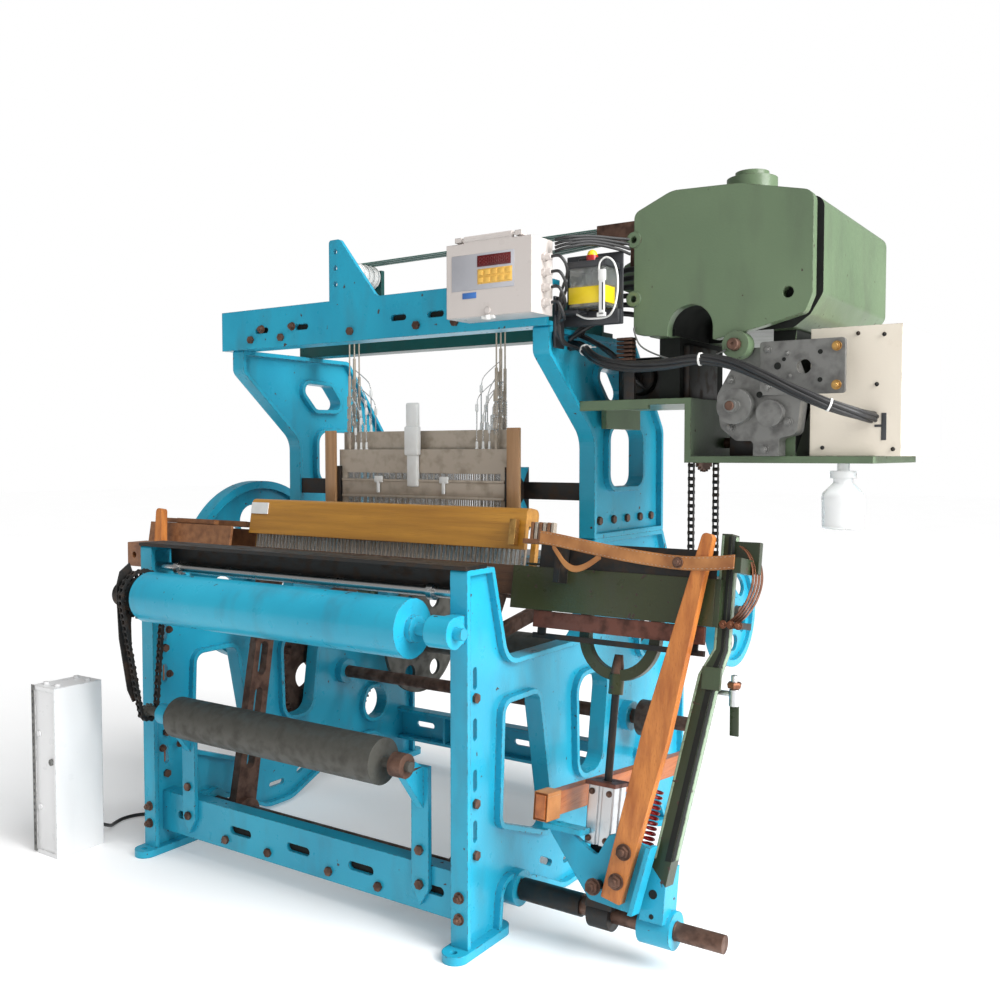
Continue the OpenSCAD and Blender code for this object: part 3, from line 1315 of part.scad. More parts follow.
// Lubricator on the right arch
module oil_reservoir() {
  y = [Y(388), Y(462)];
  color([0.85, 0.75, 0.15]) {
    block([outer_x, outer_x + 8], [Y(400), Y(450)], [beam_z - 58, 1680]);
    block([outer_x, 700], [Y(400), Y(450)], [1628, 1640]);
    block([684, 792], y, [1640, 1744]);
    block([678, 798], [y[0] - 5, y[1] + 5], [1744, 1762]);
    translate([738, Y(425), 1761]) cylinder(r = 20, h = 14);
    translate([738, Y(425), 1774]) cylinder(r = 12, h = 22);
  }
}
bottle_at = [1356, 600];
module oil_drip_bottle() {
  color([0.93, 0.94, 0.93]) translate([bottle_at[0], Y(bottle_at[1]), 0]) {
    rotate_extrude() polygon(rounded([[0, 1062, 0], [50, 1062, 8], [52, 1150, 20], [24, 1178, 10],
      [24, 1192, 0], [0, 1192, 0]]));
    translate([0, 0, 1190]) cylinder(r = 32, h = 18);
    translate([0, 0, 1207]) cylinder(r = 15, h = shelf_low - 1207);
  }
}

// Electric cabinet on the floor, beside the left frame
cabinet_x = [-910, -795];
cabinet_y = [-195, -30];
cabinet_h = 530;
module electric_cabinet() {
  y = [Y(cabinet_y[0]), Y(cabinet_y[1])];
  color([0.93, 0.93, 0.92]) {
    difference() {
      block(cabinet_x, y, [0, cabinet_h]);
      // Recessed front edge with the lock
      block([cabinet_x[0] + 10, cabinet_x[1] - 10], [y[0] - cut, y[0] + 3], [14, cabinet_h - 14]);
    }
    for (z = [150, 380]) translate([cabinet_x[0] + 30, y[0] + 4, z]) rotate([90, 0, 0])
      cylinder(r = 9, h = 6);
    for (x = [cabinet_x[0] + 28, cabinet_x[1] - 28], d = [-165, -60])
      translate([x, Y(d), cabinet_h - 1]) cylinder(r = 9, h = 9);
  }
}

// Hexagon bolt heads on the outer faces
bolt_r = 13;
bolt_h = 9;
module bolt_x(x, d, z, dir) {
  translate([x, Y(d), z]) rotate([0, dir * 90, 0]) hex_head(bolt_r, bolt_h);
}
module bolt_y(x, d, z) {
  translate([x, Y(d), z]) rotate([90, 0, 0]) hex_head(bolt_r, bolt_h);
}
module frame_bolts() {
  color(rust_brown) {
    for (s = [-1, 1], d = lug_bolts) bolt_x(s * (frame_x + web_t / 2), d, shelf_z + 50, s);
    for (z = [240, 372, 640]) for (s = [-1, 1])
      bolt_x(s * (frame_x + web_t / 2), post_depth / 2, z, s);
    for (z = [240, 372, 640]) bolt_x(-frame_x + web_t / 2, post_depth / 2, z, 1);
    for (x = [-520, -380, -80, 180, 320]) bolt_y(x, beam_y, beam_z + 30);
    for (x = [-300, -120, 120, 300]) bolt_y(x, rail_y, rail_z[0] + 28);
    for (s = [-1, 1], z = [160, 250]) bolt_y(s * bracket_x, rail_y - bracket_t, z - 20);
  }
}

left_side_frame();
right_side_frame();
front_cross_rail();
rear_cross_rail();
breast_beam();
breast_end_block();
cloth_guide_bar();
take_up_roller();
take_up_chain();
cloth_roller();
cloth_roller_brackets();
front_top_beam();
rear_top_beam();
left_arch();
right_arch();
left_harness_pulley();
right_harness_pulley();
harness_straps();
dobby_bracket();
dobby_front_plate();
dobby_housing();
dobby_jacks();
dobby_gearbox();
dobby_sprocket();
drive_control_box();
cable_bundle();
control_box();
control_box_door();
oil_reservoir();
oil_drip_bottle();
frame_bolts();
dobby_chain();
drive_motor();
electric_cabinet();
cabinet_cable();
warp_beam();
whip_roll();
crankshaft();
flywheel();
handwheel();
bottom_shaft();
crank_arms();
rocking_shaft();
lay_beam();
reed();
reed_cap();
outer_sword();
left_shuttle_box();
box_front_plate();
drop_box();
lift_fork();
lift_cylinder();
right_picking_stick();
right_picking_shoe();
picking_strap();
right_side_lever();
left_picking_stick();
heald_frame_1();
heald_frame_2();
heald_frame_3();
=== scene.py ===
"""Looks of the shuttle loom: a finish for each solid, and the fine pieces around them."""

import json
import logging
import math
from dataclasses import dataclass
from enum import Enum
from functools import cache
from typing import Any, Iterator, Protocol, Sequence

import bmesh
import bpy
from mathutils import Euler, Matrix, Vector


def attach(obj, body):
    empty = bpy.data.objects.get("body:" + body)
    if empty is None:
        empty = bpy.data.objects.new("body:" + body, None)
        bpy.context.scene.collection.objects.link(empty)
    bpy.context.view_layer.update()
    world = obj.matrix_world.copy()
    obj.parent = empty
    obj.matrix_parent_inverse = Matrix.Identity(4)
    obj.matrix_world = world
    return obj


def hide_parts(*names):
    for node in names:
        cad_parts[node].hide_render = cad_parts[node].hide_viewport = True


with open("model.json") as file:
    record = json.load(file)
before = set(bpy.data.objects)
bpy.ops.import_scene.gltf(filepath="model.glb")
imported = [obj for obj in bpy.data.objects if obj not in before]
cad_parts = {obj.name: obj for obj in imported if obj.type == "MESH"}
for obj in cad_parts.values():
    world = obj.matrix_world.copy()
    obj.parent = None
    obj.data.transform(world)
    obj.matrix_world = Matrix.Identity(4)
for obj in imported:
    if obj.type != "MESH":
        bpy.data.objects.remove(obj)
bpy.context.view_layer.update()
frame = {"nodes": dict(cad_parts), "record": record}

LOG = logging.getLogger("loom")
MM = 0.001
# Depth is measured back from the front face of the posts
POST_FACE_Y = -645.0

Colour = tuple[float, float, float]
Size = tuple[float, float, float]
Point = tuple[float, float, float]
Route = tuple[Point, ...]
Pair = tuple[float, float]
Pairs = tuple[Pair, ...]
Area = tuple[float, float, float, float]
Socket = bpy.types.NodeSocket
FRONT = Vector((0.0, -1.0, 0.0))
RIGHT = Vector((1.0, 0.0, 0.0))
UP = Vector((0.0, 0.0, 1.0))
SHARP_EDGE = math.radians(35.0)
WHITE: Colour = (1.0, 1.0, 1.0)


class Body(Enum):
    """The moving bodies that pieces ride on."""

    FRAME = "frame"
    LAY = "lay"
    BOXES = "boxes"
    RIGHT_STICK = "right_stick"
    SIDE_LEVER = "side_lever"
    DOOR = "door"
    HEALD_1 = "heald_1"
    HEALD_2 = "heald_2"
    HEALD_3 = "heald_3"


class Slot(Enum):
    """The record's material slots."""

    LOOM_BLUE = "loom_blue"
    DOBBY_GREEN = "dobby_green"
    OLIVE_PAINT = "olive_paint"
    TEAL_PAINT = "teal_paint"
    TEAL_STRAP = "teal_strap"
    DARK_STEEL = "dark_steel"
    BRIGHT_STEEL = "bright_steel"
    RUSTY_STEEL = "rusty_steel"
    GREY_ROLLER = "grey_roller"
    GREY_CAST = "grey_cast"
    STICK_WOOD = "stick_wood"
    BEAM_WOOD = "beam_wood"
    CAP_WOOD = "cap_wood"
    STRAP_LEATHER = "strap_leather"
    HEALD_METAL = "heald_metal"
    WHITE_PLASTIC = "white_plastic"
    PALE_BOX = "pale_box"
    CONTROL_GREY = "control_grey"
    CABINET_WHITE = "cabinet_white"
    LUBRICATOR = "lubricator"
    BLACK_CABLE = "black_cable"


class Grain(Enum):
    """Direction in which a timber's grain runs, as the stretch of its pattern."""

    ACROSS = (0.05, 1.0, 1.0)
    BACKWARDS = (1.0, 0.05, 1.0)
    UPRIGHT = (1.0, 1.0, 0.05)


def at(x: float, depth: float, z: float) -> Vector:
    """A point in metres.

    Args:
        x: Millimetres across, towards the dobby side.
        depth: Millimetres behind the posts' front face.
        z: Millimetres above the floor.

    Returns:
        The point in the shared frame.
    """
    return Vector((x, depth + POST_FACE_Y, z)) * MM


@dataclass(frozen=True)
class LayPlane:
    """The lay's own leaning axes at rest: across, v backwards and w up the swords."""

    depth: float = 235.0
    height: float = 100.0
    lean: float = math.radians(10.0)

    def point(self, x: float, v: float, w: float) -> Vector:
        """A point of the lay.

        Args:
            x: Millimetres across.
            v: Millimetres behind the swords' middle plane.
            w: Millimetres up from the rocking shaft.

        Returns:
            The point in the shared frame, in metres.
        """
        c, s = math.cos(self.lean), math.sin(self.lean)
        return at(x, self.depth + v * c + w * s, self.height - v * s + w * c)

    def rise(self, point: Vector) -> float:
        """How far up the lay a point lies.

        Args:
            point: A point in the shared frame, in metres.

        Returns:
            Its distance above the rocking shaft along the lay, in millimetres.
        """
        return (point - self.point(0, 0, 0)).dot(self.point(0, 0, 1) - self.point(0, 0, 0)) / MM / MM

    def front(self) -> Vector:
        """The direction out of the lay's front face."""
        return Vector((0.0, -math.cos(self.lean), math.sin(self.lean)))


LAY = LayPlane()


def rgba(value: Any) -> Any:
    """A colour of three numbers with its alpha added, or the value as it is."""
    return (*value, 1.0) if isinstance(value, tuple) and len(value) == 3 else value


class NodeTree:
    """A node tree, put together node by node."""

    def __init__(self, tree: bpy.types.NodeTree) -> None:
        """Starts on a tree.

        Args:
            tree: The tree that nodes are added to.
        """
        self.tree = tree

    def feed(self, node: bpy.types.Node, inputs: dict[Any, Any]) -> None:
        """Links or sets inputs of a node.

        Args:
            node: The node.
            inputs: Input names or numbers, with a link or a value for each.
        """
        for name, value in inputs.items():
            if isinstance(value, bpy.types.NodeSocket):
                self.tree.links.new(value, node.inputs[name])
            else:
                node.inputs[name].default_value = rgba(value)

    def add(self, kind: str, inputs: dict[Any, Any], **settings: Any) -> bpy.types.Node:
        """Adds a node.

        Args:
            kind: The node's type.
            inputs: Input names or numbers, with a link or a value for each.
            settings: The node's own options.

        Returns:
            The node.
        """
        node = self.tree.nodes.new(kind)
        for name, value in settings.items():
            setattr(node, name, value)
        self.feed(node, inputs)
        return node


class ShaderGraph(NodeTree):
    """One node material on Object coordinates."""

    def __init__(self, name: str) -> None:
        """Starts a material.

        Args:
            name: The material's name.
        """
        self.material = bpy.data.materials.new(name)
        self.material.use_nodes = True
        super().__init__(self.material.node_tree)
        self.tree.nodes.clear()
        self.shader = self.add("ShaderNodeBsdfPrincipled", {})
        self.add("ShaderNodeOutputMaterial", {"Surface": self.shader.outputs["BSDF"]})
        self.coords = self.add("ShaderNodeTexCoord", {}).outputs["Object"]

    def shade(self, values: dict[str, Any]) -> bpy.types.Material:
        """Feeds the surface shader.

        Args:
            values: Socket names with the value or the link of each.

        Returns:
            The finished material.
        """
        self.feed(self.shader, values)
        return self.material

    def noise(self, scale: float, detail: float = 3.0, stretch: Sequence[float] = (1, 1, 1)) -> Socket:
        """A cloudy grey pattern.

        Args:
            scale: Patches per metre.
            detail: How many finer layers are added.
            stretch: Scale along each axis.

        Returns:
            The pattern's grey value.
        """
        mapped = self.add("ShaderNodeMapping", {"Vector": self.coords, "Scale": Vector(stretch)}).outputs[0]
        return self.add("ShaderNodeTexNoise", {"Vector": mapped, "Scale": scale, "Detail": detail}).outputs[0]

    def cells(self, scale: float) -> Socket:
        """Distance to the nearest of many scattered points, as in leather grain."""
        return self.add("ShaderNodeTexVoronoi", {"Vector": self.coords, "Scale": scale}).outputs["Distance"]

    def bands(self, scale: float, axis: str) -> Socket:
        """Even bands across one axis, as in weave."""
        made = self.add("ShaderNodeTexWave", {"Vector": self.coords, "Scale": scale}, bands_direction=axis)
        return made.outputs["Fac"]

    def limits(self, value: Socket, low: float, high: float) -> Socket:
        """Stretches a grey value so that low becomes 0 and high becomes 1."""
        return self.add("ShaderNodeMapRange", {"Value": value, "From Min": low, "From Max": high}).outputs[0]

    def maths(self, operation: str, first: Any, second: Any) -> Socket:
        """The result of one sum on two grey values."""
        return self.add("ShaderNodeMath", {0: first, 1: second}, operation=operation).outputs[0]

    def mix(self, share: Any, first: Any, second: Any) -> Socket:
        """Two colours mixed by a share, where 1 is all of the second."""
        return self.add("ShaderNodeMix", {0: share, 6: first, 7: second}, data_type="RGBA").outputs[2]

    def edges(self, radius: float) -> tuple[Socket, Socket]:
        """Soft edges.

        Args:
            radius: How far an edge is rounded, in metres.

        Returns:
            The rounded normal, and a grey value that is 1 along the edges.
        """
        rounded = self.add("ShaderNodeBevel", {"Radius": radius}, samples=4).outputs["Normal"]
        flat = self.add("ShaderNodeNewGeometry", {}).outputs["Normal"]
        dot = self.add("ShaderNodeVectorMath", {0: rounded, 1: flat}, operation="DOT_PRODUCT")
        return rounded, self.limits(dot.outputs["Value"], 0.985, 0.86)

    def bump(self, height: Socket, distance: float, normal: Socket | None = None) -> Socket:
        """A normal that follows a height pattern.

        Args:
            height: The pattern's grey value.
            distance: Height of a full step, in metres.
            normal: The normal under it, where that isn't the surface's own.

        Returns:
            The bumped normal.
        """
        inputs = {"Height": height, "Distance": distance}
        if normal is not None:
            inputs["Normal"] = normal
        return self.add("ShaderNodeBump", inputs).outputs["Normal"]


class Finish(Protocol):
    """What a surface looks like."""

    @property
    def name(self) -> str:
        """The material's name."""

    def build(self) -> bpy.types.Material:
        """Makes the material."""


@dataclass(frozen=True)
class Enamel:
    """Paint over a casting or sheet, with soft drips, chipped edges and dust."""

    name: str
    colour: Colour
    shade: Colour
    under: Colour = (0.055, 0.034, 0.026)
    dust: Colour = (0.06, 0.055, 0.05)
    roughness: float = 0.3
    skin: float = 0.0005
    edge: float = 0.004
    chips: float = 0.70
    dirt: float = 0.30
    coat: float = 0.12
    gloss: float = 0.3

    def build(self) -> bpy.types.Material:
        """Makes the material."""
        g = ShaderGraph(self.name)
        rounded, edge = g.edges(self.edge)
        coat_patch = g.limits(g.noise(3.1, 4.0), 0.34, 0.68)
        body = g.mix(coat_patch, self.colour, self.shade)
        streaks = g.limits(g.noise(13.0, 6.0, (1.0, 1.0, 0.3)), 0.52, 0.78)
        body = g.mix(g.maths("MULTIPLY", streaks, self.dirt), body, self.dust)
        broken = g.limits(g.noise(75.0, 5.0), 0.50, 0.60)
        rubbed = g.maths("MULTIPLY", edge, broken)
        pits = g.limits(g.noise(44.0, 4.0), self.chips, self.chips + 0.03)
        bare = g.maths("MAXIMUM", rubbed, pits)
        dull = g.maths("MULTIPLY", g.noise(21.0, 4.0), 0.22)
        matt = g.maths("ADD", self.roughness - 0.1, g.maths("MULTIPLY", bare, 0.3))
        height = g.maths("SUBTRACT", g.noise(150.0, 3.0), bare)
        return g.shade({
            "Base Color": g.mix(bare, body, self.under),
            "Roughness": g.maths("ADD", dull, matt),
            "Normal": g.bump(height, self.skin, rounded),
            "Specular IOR Level": self.gloss,
            "Coat Weight": self.coat,
            "Coat Roughness": 0.12,
        })


@dataclass(frozen=True)
class Timber:
    """Oiled or varnished wood with its grain along one axis."""

    name: str
    pale: Colour
    dark: Colour
    grain: Grain
    roughness: float = 0.42
    coat: float = 0.15

    def build(self) -> bpy.types.Material:
        """Makes the material."""
        g = ShaderGraph(self.name)
        rounded, edge = g.edges(0.003)
        rings = g.limits(g.noise(46.0, 4.0, self.grain.value), 0.34, 0.68)
        pores = g.limits(g.noise(420.0, 2.0, self.grain.value), 0.52, 0.72)
        stain = g.limits(g.noise(5.0, 4.0), 0.42, 0.75)
        body = g.mix(rings, self.pale, self.dark)
        body = g.mix(g.maths("MULTIPLY", pores, 0.45), body, self.dark)
        body = g.mix(g.maths("MULTIPLY", stain, 0.4), body, self.dark)
        body = g.mix(g.maths("MULTIPLY", edge, 0.3), body, self.dark)
        return g.shade({
            "Base Color": body,
            "Roughness": g.maths("ADD", g.maths("MULTIPLY", pores, 0.2), self.roughness),
            "Normal": g.bump(g.maths("SUBTRACT", rings, pores), 0.0003, rounded),
            "Coat Weight": self.coat,
        })


@dataclass(frozen=True)
class BareMetal:
    """Unpainted metal, brushed or cast, with some rust or oil on it."""

    name: str
    colour: Colour
    stain: Colour
    stained: float = 0.6
    roughness: float = 0.34
    metallic: float = 1.0
    skin: float = 0.0002

    def build(self) -> bpy.types.Material:
        """Makes the material."""
        g = ShaderGraph(self.name)
        rounded, edge = g.edges(0.002)
        blotch = g.limits(g.noise(28.0, 6.0), self.stained - 0.12, self.stained + 0.10)
        grain = g.noise(330.0, 2.0)
        body = g.mix(blotch, self.colour, self.stain)
        body = g.mix(g.maths("MULTIPLY", edge, 0.35), body, self.colour)
        return g.shade({
            "Base Color": body,
            "Metallic": self.metallic,
            "Roughness": g.maths("ADD", g.maths("MULTIPLY", blotch, 0.28), self.roughness),
            "Normal": g.bump(grain, self.skin, rounded),
        })


@dataclass(frozen=True)
class Moulded:
    """Plastic or powder coat, lightly mottled."""

    name: str
    colour: Colour
    mottle: Colour
    roughness: float = 0.4
    skin: float = 0.00012
    transmission: float = 0.0

    def build(self) -> bpy.types.Material:
        """Makes the material."""
        g = ShaderGraph(self.name)
        rounded, _ = g.edges(0.002)
        cloud = g.limits(g.noise(17.0, 5.0), 0.45, 0.80)
        body = g.mix(cloud, self.colour, self.mottle)
        return g.shade({
            "Base Color": body,
            "Roughness": g.maths("ADD", g.maths("MULTIPLY", cloud, 0.12), self.roughness),
            "Normal": g.bump(g.noise(700.0, 2.0), self.skin, rounded),
            "Transmission Weight": self.transmission,
        })


@dataclass(frozen=True)
class Hide:
    """Tanned leather with pebbled grain and darkened edges."""

    name: str
    colour: Colour
    dark: Colour

    def build(self) -> bpy.types.Material:
        """Makes the material."""
        g = ShaderGraph(self.name)
        rounded, edge = g.edges(0.0025)
        rubbed = g.limits(g.noise(14.0, 5.0), 0.40, 0.72)
        body = g.mix(rubbed, self.colour, self.dark)
        body = g.mix(g.maths("MULTIPLY", edge, 0.7), body, self.dark)
        return g.shade({
            "Base Color": body,
            "Roughness": g.maths("ADD", g.maths("MULTIPLY", rubbed, 0.15), 0.46),
            "Normal": g.bump(g.cells(620.0), 0.0003, rounded),
        })


@dataclass(frozen=True)
class Webbing:
    """Woven strap, with its threads crossing."""

    name: str
    colour: Colour
    dark: Colour

    def build(self) -> bpy.types.Material:
        """Makes the material."""
        g = ShaderGraph(self.name)
        weave = g.maths("MULTIPLY", g.bands(110.0, "X"), g.bands(160.0, "Y"))
        worn = g.limits(g.noise(12.0, 4.0), 0.4, 0.75)
        body = g.mix(weave, self.dark, self.colour)
        body = g.mix(g.maths("MULTIPLY", worn, 0.4), body, self.dark)
        return g.shade({
            "Base Color": body,
            "Roughness": g.maths("ADD", g.maths("MULTIPLY", weave, 0.15), 0.45),
            "Normal": g.bump(weave, 0.0004),
            "Sheen Weight": 0.3,
        })


FINISHES: dict[Slot, Finish] = {
    Slot.LOOM_BLUE: Enamel("loom_blue", (0.022, 0.375, 0.540), (0.015, 0.290, 0.440)),
    Slot.DOBBY_GREEN: Enamel("dobby_green", (0.126, 0.182, 0.104), (0.104, 0.154, 0.088), roughness=0.36),
    Slot.OLIVE_PAINT: Enamel(
        "olive_paint", (0.046, 0.054, 0.022), (0.036, 0.040, 0.017), chips=0.66, dirt=0.45
    ),
    Slot.TEAL_PAINT: Enamel("teal_paint", (0.010, 0.085, 0.078), (0.008, 0.060, 0.056)),
    Slot.TEAL_STRAP: Webbing("teal_strap", (0.010, 0.180, 0.115), (0.004, 0.070, 0.050)),
    Slot.DARK_STEEL: BareMetal("dark_steel", (0.028, 0.027, 0.026), (0.060, 0.038, 0.026), 0.60, 0.42, 0.6),
    Slot.BRIGHT_STEEL: BareMetal("bright_steel", (0.62, 0.62, 0.61), (0.30, 0.26, 0.22), 0.72, 0.24),
    Slot.RUSTY_STEEL: BareMetal("rusty_steel", (0.150, 0.080, 0.055), (0.070, 0.036, 0.025), 0.52, 0.46, 0.5),
    Slot.GREY_ROLLER: BareMetal("grey_roller", (0.078, 0.076, 0.065), (0.062, 0.059, 0.050), 0.55, 0.52, 0.3),
    Slot.GREY_CAST: BareMetal(
        "grey_cast", (0.21, 0.21, 0.20), (0.150, 0.148, 0.142), 0.56, 0.40, 0.7, 0.0004
    ),
    Slot.STICK_WOOD: Timber("stick_wood", (0.570, 0.202, 0.042), (0.340, 0.096, 0.016), Grain.UPRIGHT),
    Slot.BEAM_WOOD: Timber("beam_wood", (0.120, 0.055, 0.026), (0.055, 0.025, 0.013), Grain.ACROSS),
    Slot.CAP_WOOD: Timber("cap_wood", (0.560, 0.262, 0.030), (0.380, 0.165, 0.018), Grain.ACROSS, 0.32, 0.4),
    Slot.STRAP_LEATHER: Hide("strap_leather", (0.460, 0.195, 0.060), (0.240, 0.085, 0.024)),
    Slot.HEALD_METAL: BareMetal(
        "heald_metal", (0.470, 0.400, 0.325), (0.380, 0.320, 0.250), 0.60, 0.40, 0.35
    ),
    Slot.WHITE_PLASTIC: Moulded("white_plastic", (0.80, 0.80, 0.78), (0.70, 0.69, 0.66)),
    Slot.PALE_BOX: Enamel(
        "pale_box", (0.74, 0.68, 0.58), (0.70, 0.63, 0.53), (0.40, 0.36, 0.30),
        dirt=0.10, chips=0.78, skin=0.0002,
    ),
    Slot.CONTROL_GREY: Enamel(
        "control_grey", (0.60, 0.55, 0.52), (0.57, 0.52, 0.49), (0.40, 0.37, 0.35),
        dirt=0.06, chips=0.80, skin=0.0002,
    ),
    Slot.CABINET_WHITE: Enamel(
        "cabinet_white", (0.80, 0.80, 0.80), (0.76, 0.76, 0.76), (0.50, 0.50, 0.50),
        dirt=0.06, chips=0.80, skin=0.0002,
    ),
    Slot.LUBRICATOR: Moulded("lubricator_yellow", (0.80, 0.60, 0.015), (0.72, 0.50, 0.010), 0.32),
    Slot.BLACK_CABLE: Moulded("black_cable", (0.012, 0.012, 0.013), (0.024, 0.023, 0.022), 0.36),
}
LEVER_WOOD = Timber("lever_wood", (0.470, 0.140, 0.028), (0.280, 0.068, 0.012), Grain.BACKWARDS)
PALE_WOOD = Timber("pale_wood", (0.520, 0.300, 0.150), (0.360, 0.190, 0.085), Grain.UPRIGHT)
BLOCK_WOOD = Timber("block_wood", (0.300, 0.130, 0.050), (0.170, 0.065, 0.024), Grain.BACKWARDS)
SILVER = BareMetal("silver", (0.66, 0.67, 0.68), (0.52, 0.52, 0.52), 0.70, 0.36)
BRASS = BareMetal("brass", (0.560, 0.330, 0.110), (0.260, 0.140, 0.050), 0.58, 0.34)
COPPER = BareMetal("copper_leaf", (0.300, 0.130, 0.075), (0.150, 0.070, 0.045), 0.52, 0.40)
DISPLAY_RED = Moulded("display_red", (0.110, 0.004, 0.006), (0.070, 0.003, 0.004), 0.18, 0.00002)
DIGIT_RED = Moulded("digit_red", (0.165, 0.008, 0.008), (0.140, 0.006, 0.006), 0.30, 0.00002)
PANEL_FILM = Moulded("panel_film", (0.42, 0.42, 0.45), (0.38, 0.38, 0.41), 0.35)
KEY_ORANGE = Moulded("key_orange", (0.78, 0.46, 0.09), (0.70, 0.38, 0.07), 0.42)
STRIP_BLUE = Moulded("strip_blue", (0.045, 0.16, 0.46), (0.035, 0.12, 0.38), 0.38)
KNOB_RED = Moulded("knob_red", (0.42, 0.012, 0.010), (0.34, 0.010, 0.008), 0.28)
CLEAR_TANK = Moulded("clear_tank", (0.86, 0.90, 0.88), (0.80, 0.84, 0.80), 0.06, 0.00004, 0.92)
OIL = Moulded("oil", (0.50, 0.34, 0.05), (0.44, 0.28, 0.04), 0.05, 0.00002, 0.6)
SWORD_GREEN = Enamel("sword_green", (0.030, 0.045, 0.020), (0.022, 0.033, 0.015), chips=0.66, dirt=0.35)
# Pale green of the sword's rims: painted highlight, a lit copy of the dark sword green.
RIM_HIGHLIGHT_GREEN = Enamel("rim_highlight_green", (0.300, 0.400, 0.280), (0.220, 0.300, 0.200), chips=0.66, dirt=0.25)
BLOCK_GREEN = Enamel("block_green", (0.062, 0.092, 0.050), (0.048, 0.070, 0.038), chips=0.66, dirt=0.35)
SHADOW = Moulded("shadow_gap", (0.004, 0.006, 0.004), (0.003, 0.004, 0.003), 0.85)
BAR_BROWN = BareMetal("bar_brown", (0.170, 0.060, 0.040), (0.080, 0.032, 0.022), 0.55, 0.46, 0.5)
BOTTLE = Moulded("bottle", (0.92, 0.93, 0.93), (0.88, 0.89, 0.89), 0.22, 0.00004, 0.6)
DARK_PLASTIC = Moulded("dark_plastic", (0.030, 0.032, 0.036), (0.045, 0.046, 0.050), 0.40)


@cache
def material(finish: Finish) -> bpy.types.Material:
    """The material of a finish, made once.

    Args:
        finish: What the surface looks like.

    Returns:
        The material, which pieces with the same finish share.
    """
    return finish.build()


@dataclass(frozen=True)
class Fit:
    """How a piece belongs to the object: the body that carries it, its slot and its own finish, if any."""

    body: Body
    slot: Slot
    own: Finish | None = None

    def material(self) -> bpy.types.Material:
        """The material that the piece shows."""
        return material(self.own or FINISHES[self.slot])


def dress(piece: bpy.types.Object, fit: Fit, replaces: Sequence[str] = ()) -> bpy.types.Object:
    """Gives a piece its finish and the body that it rides on.

    Args:
        piece: A mesh or curve object in place.
        fit: How it belongs to the object.
        replaces: CAD nodes that it stands for.

    Returns:
        The piece.
    """
    piece.data.materials.clear()
    piece.data.materials.append(fit.material())
    if piece.type == "MESH":
        piece.data.shade_smooth()
        piece.data.set_sharp_from_angle(angle=SHARP_EDGE)
    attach(piece, fit.body.value)
    if replaces:
        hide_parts(*replaces)
    LOG.info("%s on %s", piece.name, fit.body.value)
    return piece


def smooth_route(points: Sequence[Vector], steps: int) -> list[Vector]:
    """A smooth line through points.

    Args:
        points: The points that it passes.
        steps: Straight stretches between two points.

    Returns:
        The line's points.
    """
    line: list[Vector] = []
    last = len(points) - 1
    for i in range(last):
        p0, p1 = points[max(i - 1, 0)], points[i]
        p2, p3 = points[i + 1], points[min(i + 2, last)]
        for k in range(steps):
            t = k / steps
            line.append(0.5 * (
                2 * p1 + (p2 - p0) * t
                + (2 * p0 - 5 * p1 + 4 * p2 - p3) * t ** 2
                + (3 * p1 - p0 - 3 * p2 + p3) * t ** 3
            ))
    return [*line, points[last].copy()]


def line_length(points: Sequence[Vector]) -> float:
    """The length of a line of points, in metres."""
    return sum((b - a).length for a, b in zip(points, points[1:]))


def curve(route: Sequence[Point], steps: int) -> list[Vector]:
    """A smooth line through places given in millimetres.

    Args:
        route: Across, depth and height of each place.
        steps: Straight stretches between two places.

    Returns:
        The line's points, in metres.
    """
    return smooth_route([at(*place) for place in route], steps)


def heading(line: Sequence[Vector], index: int) -> Vector:
    """The way in which a line runs at one of its points.

    Args:
        line: The line's points.
        index: Which point it is.

    Returns:
        The direction, of length 1.
    """
    return (line[min(index + 1, len(line) - 1)] - line[max(index - 1, 0)]).normalized()


def travel(line: Sequence[Vector]) -> Iterator[tuple[Vector, Vector, Vector]]:
    """Goes along a line without twisting.

    Args:
        line: The line's points.

    Yields:
        Each point, with two directions square to the line and to each other.
    """
    side = (line[1] - line[0]).orthogonal().normalized()
    for index, point in enumerate(line):
        way = heading(line, index)
        side = (side - way * side.dot(way)).normalized()
        yield point, side, way.cross(side)


def circle(middle: Vector, side: Vector, up: Vector, radius: float, sides: int) -> list[Vector]:
    """Points spread evenly round a circle.

    Args:
        middle: The circle's middle.
        side: The direction of its first point.
        up: The direction a quarter turn further.
        radius: Its radius, in metres.
        sides: How many points there are.

    Returns:
        The points.
    """
    turns = [2 * math.pi * k / sides for k in range(sides)]
    return [middle + radius * (math.cos(a) * side + math.sin(a) * up) for a in turns]


def add_object(name: str, data: Any) -> bpy.types.Object:
    """Adds an object at the origin.

    Args:
        name: Its name.
        data: Its mesh, curve, lamp or camera.

    Returns:
        The object.
    """
    made = bpy.data.objects.new(name, data)
    bpy.context.scene.collection.objects.link(made)
    return made


